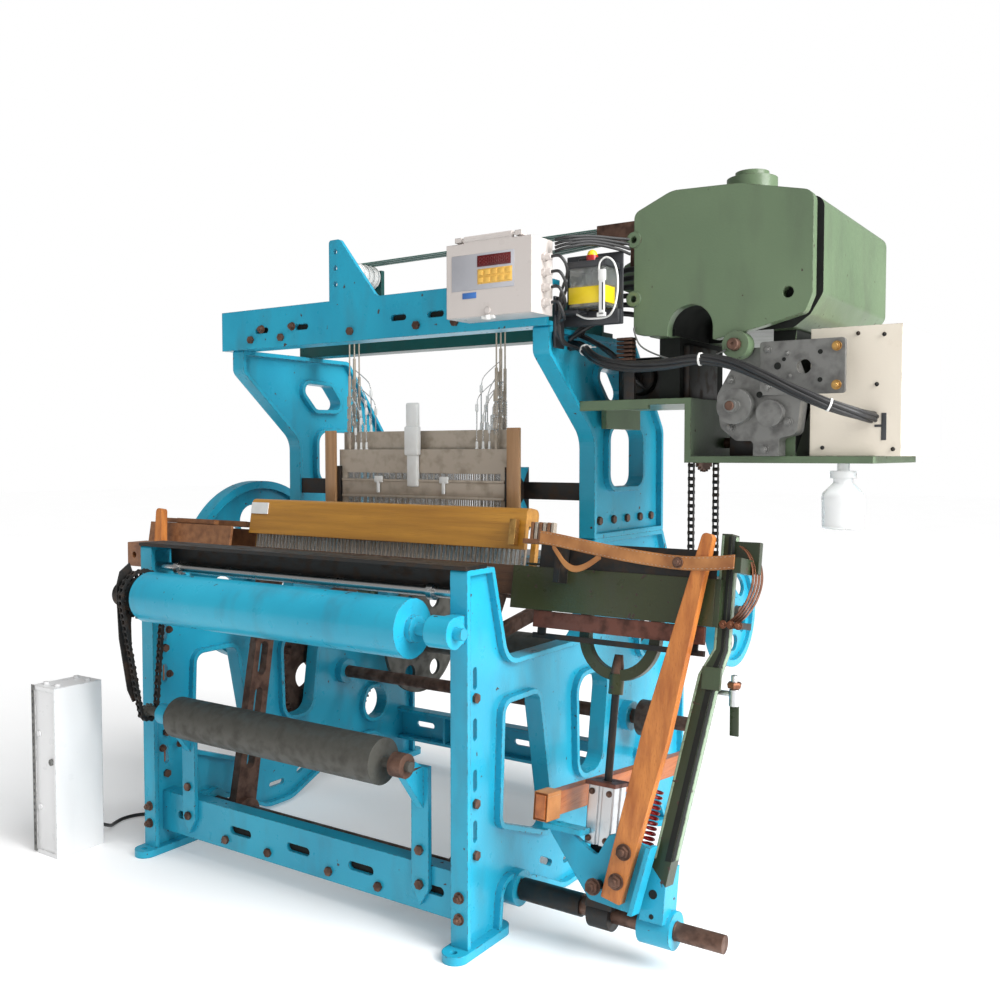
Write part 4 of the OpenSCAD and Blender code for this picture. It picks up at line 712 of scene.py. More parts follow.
class MeshBuilder:
    """Collects shapes into one mesh.

    A ribbon's faces are flat over the share INNER of its width, and its edges keep the share CROWN of
    its thickness.
    """

    INNER = 0.94
    CROWN = 0.6

    def __init__(self) -> None:
        """Starts with an empty mesh."""
        self.mesh = bmesh.new()

    def box(self, low: Vector, high: Vector, bevel: float = 0.0) -> "MeshBuilder":
        """Adds a box.

        Args:
            low: Its lowest corner.
            high: Its highest corner.
            bevel: Width of its rounded edges, in metres.

        Returns:
            The builder.
        """
        matrix = Matrix.LocRotScale((low + high) / 2, None, high - low)
        made = bmesh.ops.create_cube(self.mesh, size=1.0, matrix=matrix)
        if bevel:
            edges = list({e for v in made["verts"] for e in v.link_edges})
            bmesh.ops.bevel(
                self.mesh, geom=edges, offset=bevel, segments=2, profile=0.5,
                affect="EDGES", clamp_overlap=True,
            )
        return self

    def blocks(self, *rows: tuple[Point, Point, float]) -> "MeshBuilder":
        """Adds boxes given in millimetres.

        Args:
            rows: The lowest corner, the highest corner and the width of the rounded edges of each.

        Returns:
            The builder.
        """
        for low, high, bevel in rows:
            self.box(at(*low), at(*high), bevel * MM)
        return self

    def loft(self, rings: Sequence[Sequence[Vector]], closed: bool = True) -> "MeshBuilder":
        """Joins rings of points into a skin.

        Args:
            rings: Rings with the same number of points each.
            closed: Whether the first and last rings are capped.

        Returns:
            The builder.
        """
        rows = [[self.mesh.verts.new(p) for p in ring] for ring in rings]
        faces = []
        for a, b in zip(rows, rows[1:]):
            for k in range(len(a)):
                n = (k + 1) % len(a)
                faces.append(self.mesh.faces.new((a[k], a[n], b[n], b[k])))
        if closed:
            faces.append(self.mesh.faces.new(list(reversed(rows[0]))))
            faces.append(self.mesh.faces.new(rows[-1]))
        bmesh.ops.recalc_face_normals(self.mesh, faces=faces)
        return self

    def sweep(self, line: Sequence[Vector], radius: float, sides: int = 10) -> "MeshBuilder":
        """Adds a round tube along a line.

        Args:
            line: The points that it follows.
            radius: Its radius, in metres.
            sides: Faces round it.

        Returns:
            The builder.
        """
        return self.loft([circle(*place, radius, sides) for place in travel(line)])

    def ribbon(self, line: Sequence[Vector], width: Vector, thickness: float) -> "MeshBuilder":
        """Adds a flat band along a line.

        Args:
            line: The points of its middle.
            width: Its full width, as a vector across it.
            thickness: Its thickness, in metres.

        Returns:
            The builder.
        """
        half = width / 2
        inner = half * self.INNER
        rings = []
        for index, point in enumerate(line):
            out = heading(line, index).cross(width).normalized() * thickness / 2
            crown = out * self.CROWN
            rings.append([
                point - half + crown, point - inner + out, point + inner + out, point + half + crown,
                point + half - crown, point + inner - out, point - inner - out, point - half - crown,
            ])
        return self.loft(rings)

    def turned(
        self, base: Vector, axis: Vector, profile: Sequence[Pair], sides: int = 32
    ) -> "MeshBuilder":
        """Adds a turned shape.

        Args:
            base: Where its axis starts.
            axis: Direction of its axis.
            profile: Pairs of height and radius along the axis, in millimetres.
            sides: Faces round it.

        Returns:
            The builder.
        """
        way = axis.normalized()
        side = way.orthogonal().normalized()
        up = way.cross(side)
        return self.loft([circle(base + way * h * MM, side, up, r * MM, sides) for h, r in profile])

    def plate(self, outline: Sequence[Vector], depth: Vector) -> "MeshBuilder":
        """Adds a flat plate.

        Args:
            outline: The corners of one face.
            depth: From that face to the other one.

        Returns:
            The builder.
        """
        return self.loft([list(outline), [p + depth for p in outline]])

    def leaning(self, x: Pair, v: Pair, w: Pair) -> "MeshBuilder":
        """Adds a block that leans with the lay.

        Args:
            x: Its two ends, in millimetres.
            v: Its front and back.
            w: Its bottom and top.

        Returns:
            The builder.
        """
        ring = [(x[0], w[0]), (x[1], w[0]), (x[1], w[1]), (x[0], w[1])]
        return self.loft([[LAY.point(a, depth, b) for a, b in ring] for depth in v])

    def place(self, name: str, fit: Fit, replaces: Sequence[str] = ()) -> bpy.types.Object:
        """Makes the piece and dresses it.

        Args:
            name: The piece's name.
            fit: How it belongs to the object.
            replaces: CAD nodes that it stands for.

        Returns:
            The piece, at the origin.
        """
        data = bpy.data.meshes.new(name)
        self.mesh.to_mesh(data)
        self.mesh.free()
        return dress(add_object(name, data), fit, replaces)


class GeometryTree(NodeTree):
    """One Geometry Nodes tree with named inputs."""

    def __init__(self, name: str, inputs: dict[str, str]) -> None:
        """Starts a tree.

        Args:
            name: The tree's name.
            inputs: Names of its inputs with the socket type of each.
        """
        super().__init__(bpy.data.node_groups.new(name, "GeometryNodeTree"))
        face = self.tree.interface
        face.new_socket("Geometry", in_out="INPUT", socket_type="NodeSocketGeometry")
        for label, kind in {**inputs, "Finish": "NodeSocketMaterial"}.items():
            face.new_socket(label, in_out="INPUT", socket_type=kind)
        face.new_socket("Geometry", in_out="OUTPUT", socket_type="NodeSocketGeometry")
        self.source = self.tree.nodes.new("NodeGroupInput").outputs
        self.sink = self.tree.nodes.new("NodeGroupOutput").inputs

    def attribute(self, name: str, kind: str) -> Socket:
        """The value of a named attribute of the points."""
        return self.add("GeometryNodeInputNamedAttribute", {"Name": name}, data_type=kind).outputs[0]

    def close(self, geometry: Socket) -> None:
        """Ends the tree in plain geometry with its finish.

        Args:
            geometry: What the tree has made.
        """
        real = self.add("GeometryNodeRealizeInstances", {"Geometry": geometry})
        painted = self.add(
            "GeometryNodeSetMaterial", {"Geometry": real.outputs[0], "Material": self.source["Finish"]}
        )
        self.tree.links.new(painted.outputs[0], self.sink["Geometry"])

    def grow(self, name: str, seed: bpy.types.Mesh, values: dict[str, Any], fit: Fit) -> bpy.types.Object:
        """Runs the tree on a mesh.

        Args:
            name: The piece's name.
            seed: The mesh that the tree starts from.
            values: Its named inputs.
            fit: How the piece belongs to the object.

        Returns:
            The result as a plain mesh object, dressed.
        """
        carrier = add_object(name + "_seed", seed)
        modifier = carrier.modifiers.new(name, "NODES")
        modifier.node_group = self.tree
        given = {**values, "Finish": fit.material()}
        for item in self.tree.interface.items_tree:
            if item.in_out == "INPUT" and item.name in given:
                modifier[item.identifier] = given[item.name]
        ready = carrier.evaluated_get(bpy.context.evaluated_depsgraph_get())
        data = bpy.data.meshes.new_from_object(ready)
        bpy.data.objects.remove(carrier)
        data.name = name
        return dress(add_object(name, data), fit)


@dataclass(frozen=True)
class Bolt:
    """Where a bolt sits: its seat, the way it faces and its size against an M12."""

    seat: Vector
    facing: Vector
    size: float = 1.0


class BoltTree(GeometryTree):
    """Hexagon heads on washers, each turned at random."""

    M12 = {
        "Across": 0.0105, "Head": 0.0075, "Washer": 0.0135, "Washer Height": 0.003, "Stub": 0.006, "Seed": 11,
    }

    def __init__(self) -> None:
        """Builds the tree."""
        super().__init__("bolts", {
            "Across": "NodeSocketFloat", "Head": "NodeSocketFloat",
            "Washer": "NodeSocketFloat", "Washer Height": "NodeSocketFloat",
            "Stub": "NodeSocketFloat", "Seed": "NodeSocketInt",
        })
        src = self.source
        points = self.add("GeometryNodeMeshToPoints", {"Mesh": src["Geometry"]})
        parts = [
            self.turning(src["Washer"], src["Washer Height"], 18, 0.5),
            self.turning(src["Across"], src["Head"], 6, 1.0),
            self.turning(src["Stub"], src["Head"], 12, 1.7),
        ]
        joined = self.add("GeometryNodeJoinGeometry", {})
        for part in parts:
            self.tree.links.new(part, joined.inputs[0])
        ahead = self.attribute("facing", "FLOAT_VECTOR")
        facing = self.add("FunctionNodeAlignRotationToVector", {"Vector": ahead}, axis="Z")
        spread = self.add("GeometryNodeInstanceOnPoints", {
            "Points": points.outputs[0], "Instance": joined.outputs[0],
            "Rotation": facing.outputs[0], "Scale": self.attribute("size", "FLOAT"),
        })
        spin = self.add(
            "FunctionNodeRandomValue", {2: 0.0, 3: math.pi / 3, "Seed": src["Seed"]}, data_type="FLOAT"
        )
        about = self.add("ShaderNodeCombineXYZ", {"Z": spin.outputs[1]})
        turned = self.add(
            "GeometryNodeRotateInstances", {"Instances": spread.outputs[0], "Rotation": about.outputs[0]}
        )
        self.close(turned.outputs[0])

    def turning(self, radius: Socket, height: Socket, sides: int, lift: float) -> Socket:
        """A short cylinder that stands on the seat.

        Args:
            radius: Its radius.
            height: Its height.
            sides: Faces round it.
            lift: Its middle above the seat, in heights.

        Returns:
            The geometry.
        """
        made = self.add("GeometryNodeMeshCylinder", {"Vertices": sides, "Radius": radius, "Depth": height})
        raised = self.add("ShaderNodeMath", {0: height, 1: lift}, operation="MULTIPLY")
        place = self.add("ShaderNodeCombineXYZ", {"Z": raised.outputs[0]})
        moved = self.add("GeometryNodeTransform", {
            "Geometry": made.outputs[0], "Translation": place.outputs[0],
        })
        return moved.outputs[0]

    def set(self, name: str, bolts: Sequence[Bolt], fit: Fit) -> bpy.types.Object:
        """Makes a set of bolts.

        Args:
            name: The piece's name.
            bolts: Where they sit.
            fit: How they belong to the object.

        Returns:
            The piece.
        """
        seed = bpy.data.meshes.new(name)
        seed.from_pydata([b.seat for b in bolts], [], [])
        facing = seed.attributes.new("facing", "FLOAT_VECTOR", "POINT")
        facing.data.foreach_set("vector", [c for b in bolts for c in b.facing])
        size = seed.attributes.new("size", "FLOAT", "POINT")
        size.data.foreach_set("value", [b.size for b in bolts])
        return self.grow(name, seed, self.M12, fit)


class WireRowTree(GeometryTree):
    """A row of upright wires or bars, evenly spaced."""

    def __init__(self) -> None:
        """Builds the tree."""
        super().__init__("wire_row", {
            "Count": "NodeSocketInt", "Start": "NodeSocketVector", "Step": "NodeSocketVector",
            "Wire": "NodeSocketVector", "Lean": "NodeSocketRotation",
        })
        src = self.source
        line = self.add("GeometryNodeMeshLine", {
            "Count": src["Count"], "Start Location": src["Start"], "Offset": src["Step"],
        }, mode="OFFSET")
        bar = self.add("GeometryNodeMeshCube", {"Size": src["Wire"]})
        row = self.add("GeometryNodeInstanceOnPoints", {
            "Points": line.outputs[0], "Instance": bar.outputs[0], "Rotation": src["Lean"],
        })
        self.close(row.outputs[0])

    def row(
        self, name: str, first: Vector, last: Vector, count: int, wire: Vector, fit: Fit, lean: float = 0.0
    ) -> bpy.types.Object:
        """Makes a row.

        Args:
            name: The piece's name.
            first: Middle of the first wire.
            last: Middle of the last wire.
            count: How many wires there are.
            wire: Width, depth and height of a wire.
            fit: How they belong to the object.
            lean: Turn of each wire about the row, in radians.

        Returns:
            The piece.
        """
        seed = bpy.data.meshes.new(name)
        return self.grow(name, seed, {
            "Count": count, "Start": first, "Step": (last - first) / (count - 1),
            "Wire": wire, "Lean": Euler((lean, 0.0, 0.0)),
        }, fit)


class CoilTree(GeometryTree):
    """A coil spring along a line from one point to another."""

    def __init__(self) -> None:
        """Builds the tree."""
        super().__init__("coil_spring", {
            "Turns": "NodeSocketFloat", "Radius": "NodeSocketFloat", "Length": "NodeSocketFloat",
            "Wire": "NodeSocketFloat", "Foot": "NodeSocketVector", "Turn": "NodeSocketRotation",
        })
        src = self.source
        coil = self.add("GeometryNodeCurveSpiral", {
            "Resolution": 14, "Rotations": src["Turns"], "Start Radius": src["Radius"],
            "End Radius": src["Radius"], "Height": src["Length"],
        })
        ring = self.add("GeometryNodeCurvePrimitiveCircle", {"Resolution": 6, "Radius": src["Wire"]})
        tube = self.add("GeometryNodeCurveToMesh", {
            "Curve": coil.outputs[0], "Profile Curve": ring.outputs[0], "Fill Caps": True,
        })
        moved = self.add("GeometryNodeTransform", {
            "Geometry": tube.outputs[0], "Translation": src["Foot"], "Rotation": src["Turn"],
        })
        self.close(moved.outputs[0])

    def coil(
        self, name: str, foot: Vector, head: Vector, radius: float, wire: float, turns: float, fit: Fit
    ) -> bpy.types.Object:
        """Makes a spring.

        Args:
            name: The piece's name.
            foot: Where it starts.
            head: Where it ends.
            radius: Radius at the middle of its wire, in metres.
            wire: The wire's radius, in metres.
            turns: How many turns it has.
            fit: How it belongs to the object.

        Returns:
            The piece.
        """
        way = head - foot
        return self.grow(name, bpy.data.meshes.new(name), {
            "Turns": turns, "Radius": radius, "Length": way.length, "Wire": wire,
            "Foot": foot, "Turn": way.to_track_quat("Z", "Y").to_euler(),
        }, fit)


class StitchTree(GeometryTree):
    """Short stitches along a line, each as long as the share FILLED of the pitch."""

    THICK = 1.4
    FILLED = 0.62

    def __init__(self) -> None:
        """Builds the tree."""
        super().__init__("stitches", {"Pitch": "NodeSocketFloat", "Stitch": "NodeSocketVector"})
        src = self.source
        line = self.add("GeometryNodeMeshToCurve", {"Mesh": src["Geometry"]})
        points = self.add(
            "GeometryNodeCurveToPoints", {"Curve": line.outputs[0], "Length": src["Pitch"]}, mode="LENGTH"
        )
        thread = self.add("GeometryNodeMeshIcoSphere", {"Radius": 0.5, "Subdivisions": 1})
        sewn = self.add("GeometryNodeInstanceOnPoints", {
            "Points": points.outputs["Points"], "Instance": thread.outputs[0],
            "Rotation": points.outputs["Rotation"], "Scale": src["Stitch"],
        })
        self.close(sewn.outputs[0])

    def seam(
        self, name: str, lines: Sequence[Sequence[Vector]], pitch: float, fit: Fit
    ) -> bpy.types.Object:
        """Sews along lines.

        Args:
            name: The piece's name.
            lines: The points of each line.
            pitch: Distance from stitch to stitch, in metres.
            fit: How the thread belongs to the object.

        Returns:
            The piece.
        """
        points: list[Vector] = []
        edges: list[tuple[int, int]] = []
        for line in lines:
            first = len(points)
            points.extend(line)
            edges.extend((i, i + 1) for i in range(first, len(points) - 1))
        seed = bpy.data.meshes.new(name)
        seed.from_pydata(points, edges, [])
        stitch = Vector((self.THICK, self.THICK, self.FILLED * pitch / MM)) * MM
        return self.grow(name, seed, {"Pitch": pitch, "Stitch": stitch}, fit)


@dataclass
class Trees:
    """The Geometry Nodes trees that the sub-assemblies share."""

    bolts: BoltTree
    wires: WireRowTree
    coils: CoilTree
    stitches: StitchTree


@dataclass
class Studio:
    """Camera, lamps and floor."""

    eye: Point = (2.0866, -2.6678, 1.25)
    tilt: float = 87.45
    heading: float = 34.0
    lens: float = 37.08
    sensor: float = 36.0
    floor_size: float = 60.0
    ambient: float = 0.31
    sun_power: float = 2.7
    sun_width: float = 50.0

    def camera(self) -> None:
        """Sets the camera where the photograph was taken from."""
        data = bpy.data.cameras.new("camera")
        data.lens, data.sensor_width = self.lens, self.sensor
        data.clip_start, data.clip_end = 0.05, 200.0
        camera = add_object("camera", data)
        camera.location = self.eye
        camera.rotation_euler = Euler((math.radians(self.tilt), 0.0, math.radians(self.heading)))
        bpy.context.scene.camera = camera

    def lamp(self, name: str, place: Vector, aim: Vector, size: float, power: float) -> None:
        """Hangs one soft square lamp.

        Args:
            name: Its name.
            place: Where it hangs.
            aim: The point that it faces.
            size: Its side, in metres.
            power: Its power, in watts.
        """
        data = bpy.data.lights.new(name, "AREA")
        data.size, data.energy = size, power
        lamp = add_object(name, data)
        lamp.location = place
        lamp.rotation_euler = (aim - place).to_track_quat("-Z", "Y").to_euler()

    def sun(self, towards: Vector) -> None:
        """Adds the broad light that whitens the floor.

        Args:
            towards: The way to the light.
        """
        data = bpy.data.lights.new("sun", "SUN")
        data.energy, data.angle = self.sun_power, math.radians(self.sun_width)
        sun = add_object("sun", data)
        sun.rotation_euler = (-towards).to_track_quat("-Z", "Y").to_euler()

    def world(self) -> None:
        """Lights the room evenly, and shows white behind the object."""
        world = bpy.data.worlds.new("studio")
        world.use_nodes = True
        bpy.context.scene.world = world
        graph = NodeTree(world.node_tree)
        rays = graph.add("ShaderNodeLightPath", {}).outputs
        seen = graph.add(
            "ShaderNodeMath", {0: rays["Is Camera Ray"], 1: rays["Is Transmission Ray"]}, operation="MAXIMUM"
        )
        strength = graph.add("ShaderNodeMapRange", {
            "Value": seen.outputs[0], "To Min": self.ambient, "To Max": 1.0,
        })
        graph.feed(graph.tree.nodes["Background"], {"Color": WHITE, "Strength": strength.outputs["Result"]})

    def floor(self) -> None:
        """Lays the pale floor."""
        half = self.floor_size / 2
        data = bpy.data.meshes.new("floor")
        corners = [(-half, -half, 0), (half, -half, 0), (half, half, 0), (-half, half, 0)]
        data.from_pydata([Vector(c) for c in corners], [], [(0, 1, 2, 3)])
        floor = add_object("floor", data)
        g = ShaderGraph("floor")
        pale = g.mix(g.limits(g.noise(1.5, 3.0), 0.3, 0.8), (0.90, 0.90, 0.90), (0.87, 0.87, 0.87))
        data.materials.append(g.shade({
            "Base Color": pale, "Roughness": 0.9, "Specular IOR Level": 0.1,
            "Emission Color": WHITE, "Emission Strength": 0.18,
        }))

    def build(self) -> None:
        """Sets up the lamps, the world and the floor."""
        middle = Vector((0.1, 0.0, 0.9))
        self.lamp("key", Vector((5.4, -0.5, 3.0)), middle, 3.0, 340.0)
        self.lamp("fill", Vector((-0.6, -5.4, 2.6)), middle, 4.0, 26.0)
        self.sun(Vector((0.85, -0.08, 0.90)))
        self.world()
        self.floor()
        bpy.context.scene.view_settings.view_transform = "Standard"


@dataclass
class FloorCable:
    """The cabinet's lead across the floor to the left side frame."""

    radius: float = 6.0
    steps: int = 5
    sleeve: Pairs = ((0, 11), (4, 11), (5, 9.5), (26, 7.6), (30, 7.0), (30, 6.2))
    route: Route = (
        (-852, -30, 40), (-852, 0, 40), (-864, 30, 26), (-884, 60, 12), (-906, 92, 7),
        (-918, 130, 7), (-912, 170, 7), (-890, 202, 7), (-850, 222, 7), (-800, 232, 7),
        (-750, 240, 9), (-710, 262, 20), (-684, 300, 48), (-656, 352, 81), (-626, 352, 81),
    )

    def build(self) -> None:
        """Makes the lead and the tapered sleeve where it leaves the cabinet."""
        line = curve(self.route, self.steps)
        data = bpy.data.curves.new("floor_cable", "CURVE")
        data.dimensions = "3D"
        data.bevel_depth = self.radius * MM
        data.bevel_resolution = 3
        data.use_fill_caps = True
        spline = data.splines.new("POLY")
        spline.points.add(len(line) - 1)
        for point, place in zip(spline.points, line):
            point.co = (*place, 1.0)
        lead = add_object("floor_cable", data)
        dress(lead, Fit(Body.FRAME, Slot.BLACK_CABLE), ["cabinet_cable"])
        sleeve = MeshBuilder().turned(line[0], line[1] - line[0], self.sleeve).place(
            "floor_cable_sleeve", Fit(Body.FRAME, Slot.BLACK_CABLE, DARK_PLASTIC)
        )
        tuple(line[0])
        line_length(line)


@dataclass
class CableLoom:
    """Leads from the control box, tied into one bundle that runs to the drive box."""

    strands: int = 7
    strand_r: float = 5.4
    bundle_r: float = 9.6
    lead_r: float = 4.2
    twist: float = 5.0
    steps: int = 6
    tie_places: tuple[int, ...] = (2, 7, 11)
    tie_lip: float = 1.6
    tie_width: float = 5.0
    tie_lock: float = 4.0
    tie_end: float = 22.0
    tie_drop: float = 12.0
    tie_r: float = 1.3
    route: Route = (
        (607, 520, 1556), (634, 520, 1556), (672, 496, 1540), (726, 452, 1512), (790, 420, 1490),
        (870, 410, 1478), (960, 408, 1480), (1050, 408, 1488), (1130, 410, 1474),
        (1210, 418, 1440), (1290, 430, 1400), (1360, 450, 1368), (1412, 492, 1348),
        (1432, 545, 1340), (1432, 575, 1340),
    )
    gland_heights: tuple[float, ...] = (1650, 1690, 1730, 1770)
    gland_spread: float = 6.0
    cross_leads: int = 4

    def strand(self, line: Sequence[Vector], index: int) -> list[Vector]:
        """The line of one lead in the bundle.

        Args:
            line: The bundle's middle.
            index: Which lead it is; the first runs in the middle.

        Returns:
            Its points.
        """
        if index == 0:
            return list(line)
        start = 2 * math.pi * index / (self.strands - 1)
        points = []
        for i, (point, side, up) in enumerate(travel(line)):
            turn = start + self.twist * i / len(line)
            points.append(point + (math.cos(turn) * side + math.sin(turn) * up) * self.bundle_r * MM)
        return points

    def leads(self) -> list[list[Vector]]:
        """The lines of the leads from the control box, down to the bundle and across to the dobby."""
        routes = []
        for k, z in enumerate(self.gland_heights):
            side = self.gland_spread * k
            routes.append([
                (669, 320, z), (690 + side / 3, 324, z - 3), (694 + side / 2, 346, z - 40),
                (668, 372 - side / 4, (z + 1560) / 2), (650 + side / 2, 388, 1578 - side),
                (652 + side / 2, 450, 1546), (660, 500, 1542),
            ])
        for k in range(self.cross_leads):
            routes.append([
                (669, 340, 1786 + 10 * k), (700, 348, 1794 + 9 * k), (744, 398, 1806 + 7 * k),
                (790, 452, 1798 + 9 * k), (816, 486, 1786 + 13 * k),
            ])
        return [curve(route, self.steps) for route in routes]

    def build(self) -> None:
        """Makes the bundle with its leads, and the ties round it."""
        line = curve(self.route, self.steps)
        bundle = MeshBuilder()
        for index in range(self.strands):
            bundle.sweep(self.strand(line, index), self.strand_r * MM)
        for lead in self.leads():
            bundle.sweep(lead, self.lead_r * MM, 8)
        bundle.place("cable_loom", Fit(Body.FRAME, Slot.BLACK_CABLE), ["cable_bundle"])
        ties = MeshBuilder()
        outside = self.bundle_r + self.strand_r
        rim = outside + self.tie_lip
        half = Vector((self.tie_lock,) * 3) * MM
        for place in self.tie_places:
            middle, after = line[place * self.steps], line[place * self.steps + 1]
            side = (after - middle).orthogonal().normalized()
            lock = middle + side * (outside + 1) * MM
            end = middle + side * (outside + self.tie_end) * MM - UP * (self.tie_drop * MM)
            ties.turned(middle, after - middle, [(0, rim), (self.tie_width, rim)], 20)
            ties.box(lock - half, lock + half, 0.001)
            ties.sweep([middle + side * outside * MM, end], self.tie_r * MM, 6)
        ties.place("cable_ties", Fit(Body.FRAME, Slot.WHITE_PLASTIC))


@dataclass
class ControlPanel:
    """The panel on the control box door: film, display, keypad, strip and latch."""

    face_depth: float = 260.0
    film: Area = (388, 592, 1692, 1788)
    display: Area = (474, 582, 1752, 1782)
    keypad: Area = (474, 586, 1706, 1746)
    strip: Area = (424, 470, 1670, 1686)
    digits: int = 8
    digit_margin: float = 4.0
    digit_depth: Pair = (257.4, 257.9)
    digit_half: Pair = (3.0, 0.8)
    digit_rows: tuple[float, ...] = (1758.5, 1767.0, 1775.5)
    post_half: Pair = (0.8, 3.4)
    post_side: float = 3.6
    post_rows: tuple[float, ...] = (1762.7, 1771.3)
    key_rows: int = 2
    key_columns: int = 5
    key_gap: float = 3.0
    key_depth: Pair = (256.8, 258.8)
    latch_x: Pair = (494, 520)

    def slab(self, area: Area, back: float, front: float, bevel: float) -> MeshBuilder:
        """A flat slab on the door.

        Args:
            area: Left, right, low and high edges, in millimetres.
            back: How far its back stands before the door.
            front: How far its face stands before the door.
            bevel: Width of its rounded edges, in millimetres.

        Returns:
            A builder that holds it.
        """
        low = (area[0], self.face_depth - front, area[2])
        return MeshBuilder().blocks((low, (area[1], self.face_depth - back, area[3]), bevel))

    def segments(self) -> None:
        """Makes the unlit segments of the display."""
        near, far = self.digit_depth
        made = MeshBuilder()
        pitch = (self.display[1] - self.display[0] - 2 * self.digit_margin) / self.digits
        for k in range(self.digits):
            x = self.display[0] + self.digit_margin + (k + 0.5) * pitch
            marks = [(x, z, *self.digit_half) for z in self.digit_rows]
            marks += [
                (x + side, z, *self.post_half)
                for side in (-self.post_side, self.post_side) for z in self.post_rows
            ]
            for middle, z, wide, high in marks:
                made.blocks(((middle - wide, near, z - high), (middle + wide, far, z + high), 0.0))
        made.place("panel_digits", Fit(Body.DOOR, Slot.CONTROL_GREY, DIGIT_RED))

    def keys(self) -> None:
        """Makes the keypad."""
        near, far = self.key_depth
        made = self.slab(self.keypad, 0.6, 1.4, 0.5)
        wide = (self.keypad[1] - self.keypad[0]) / self.key_columns
        high = (self.keypad[3] - self.keypad[2]) / self.key_rows
        for row in range(self.key_rows):
            for column in range(self.key_columns):
                x, z = self.keypad[0] + column * wide, self.keypad[2] + row * high
                corner = (x + wide - self.key_gap, far, z + high - self.key_gap)
                made.blocks(((x + self.key_gap, near, z + self.key_gap), corner, 1.2))
        made.place("panel_keys", Fit(Body.DOOR, Slot.CONTROL_GREY, KEY_ORANGE))

    def build(self) -> None:
        """Makes the panel's pieces."""
        for name, area, back, front, bevel, finish in (
            ("panel_film", self.film, -0.2, 0.8, 0.4, PANEL_FILM),
            ("panel_display", self.display, 0.6, 2.4, 0.6, DISPLAY_RED),
            ("panel_strip", self.strip, -0.2, 1.6, 1.2, STRIP_BLUE),
        ):
            self.slab(area, back, front, bevel).place(name, Fit(Body.DOOR, Slot.CONTROL_GREY, finish))
        self.segments()
        self.keys()
        latch = MeshBuilder().blocks(*(((x - 8, 258, 1612), (x + 8, 270, 1622), 3) for x in self.latch_x))
        latch.turned(at(sum(self.latch_x) / 2, 262, 1622), -UP, [(0, 9), (10, 9), (12, 7)], 24)
        latch.place("panel_latch", Fit(Body.DOOR, Slot.WHITE_PLASTIC))


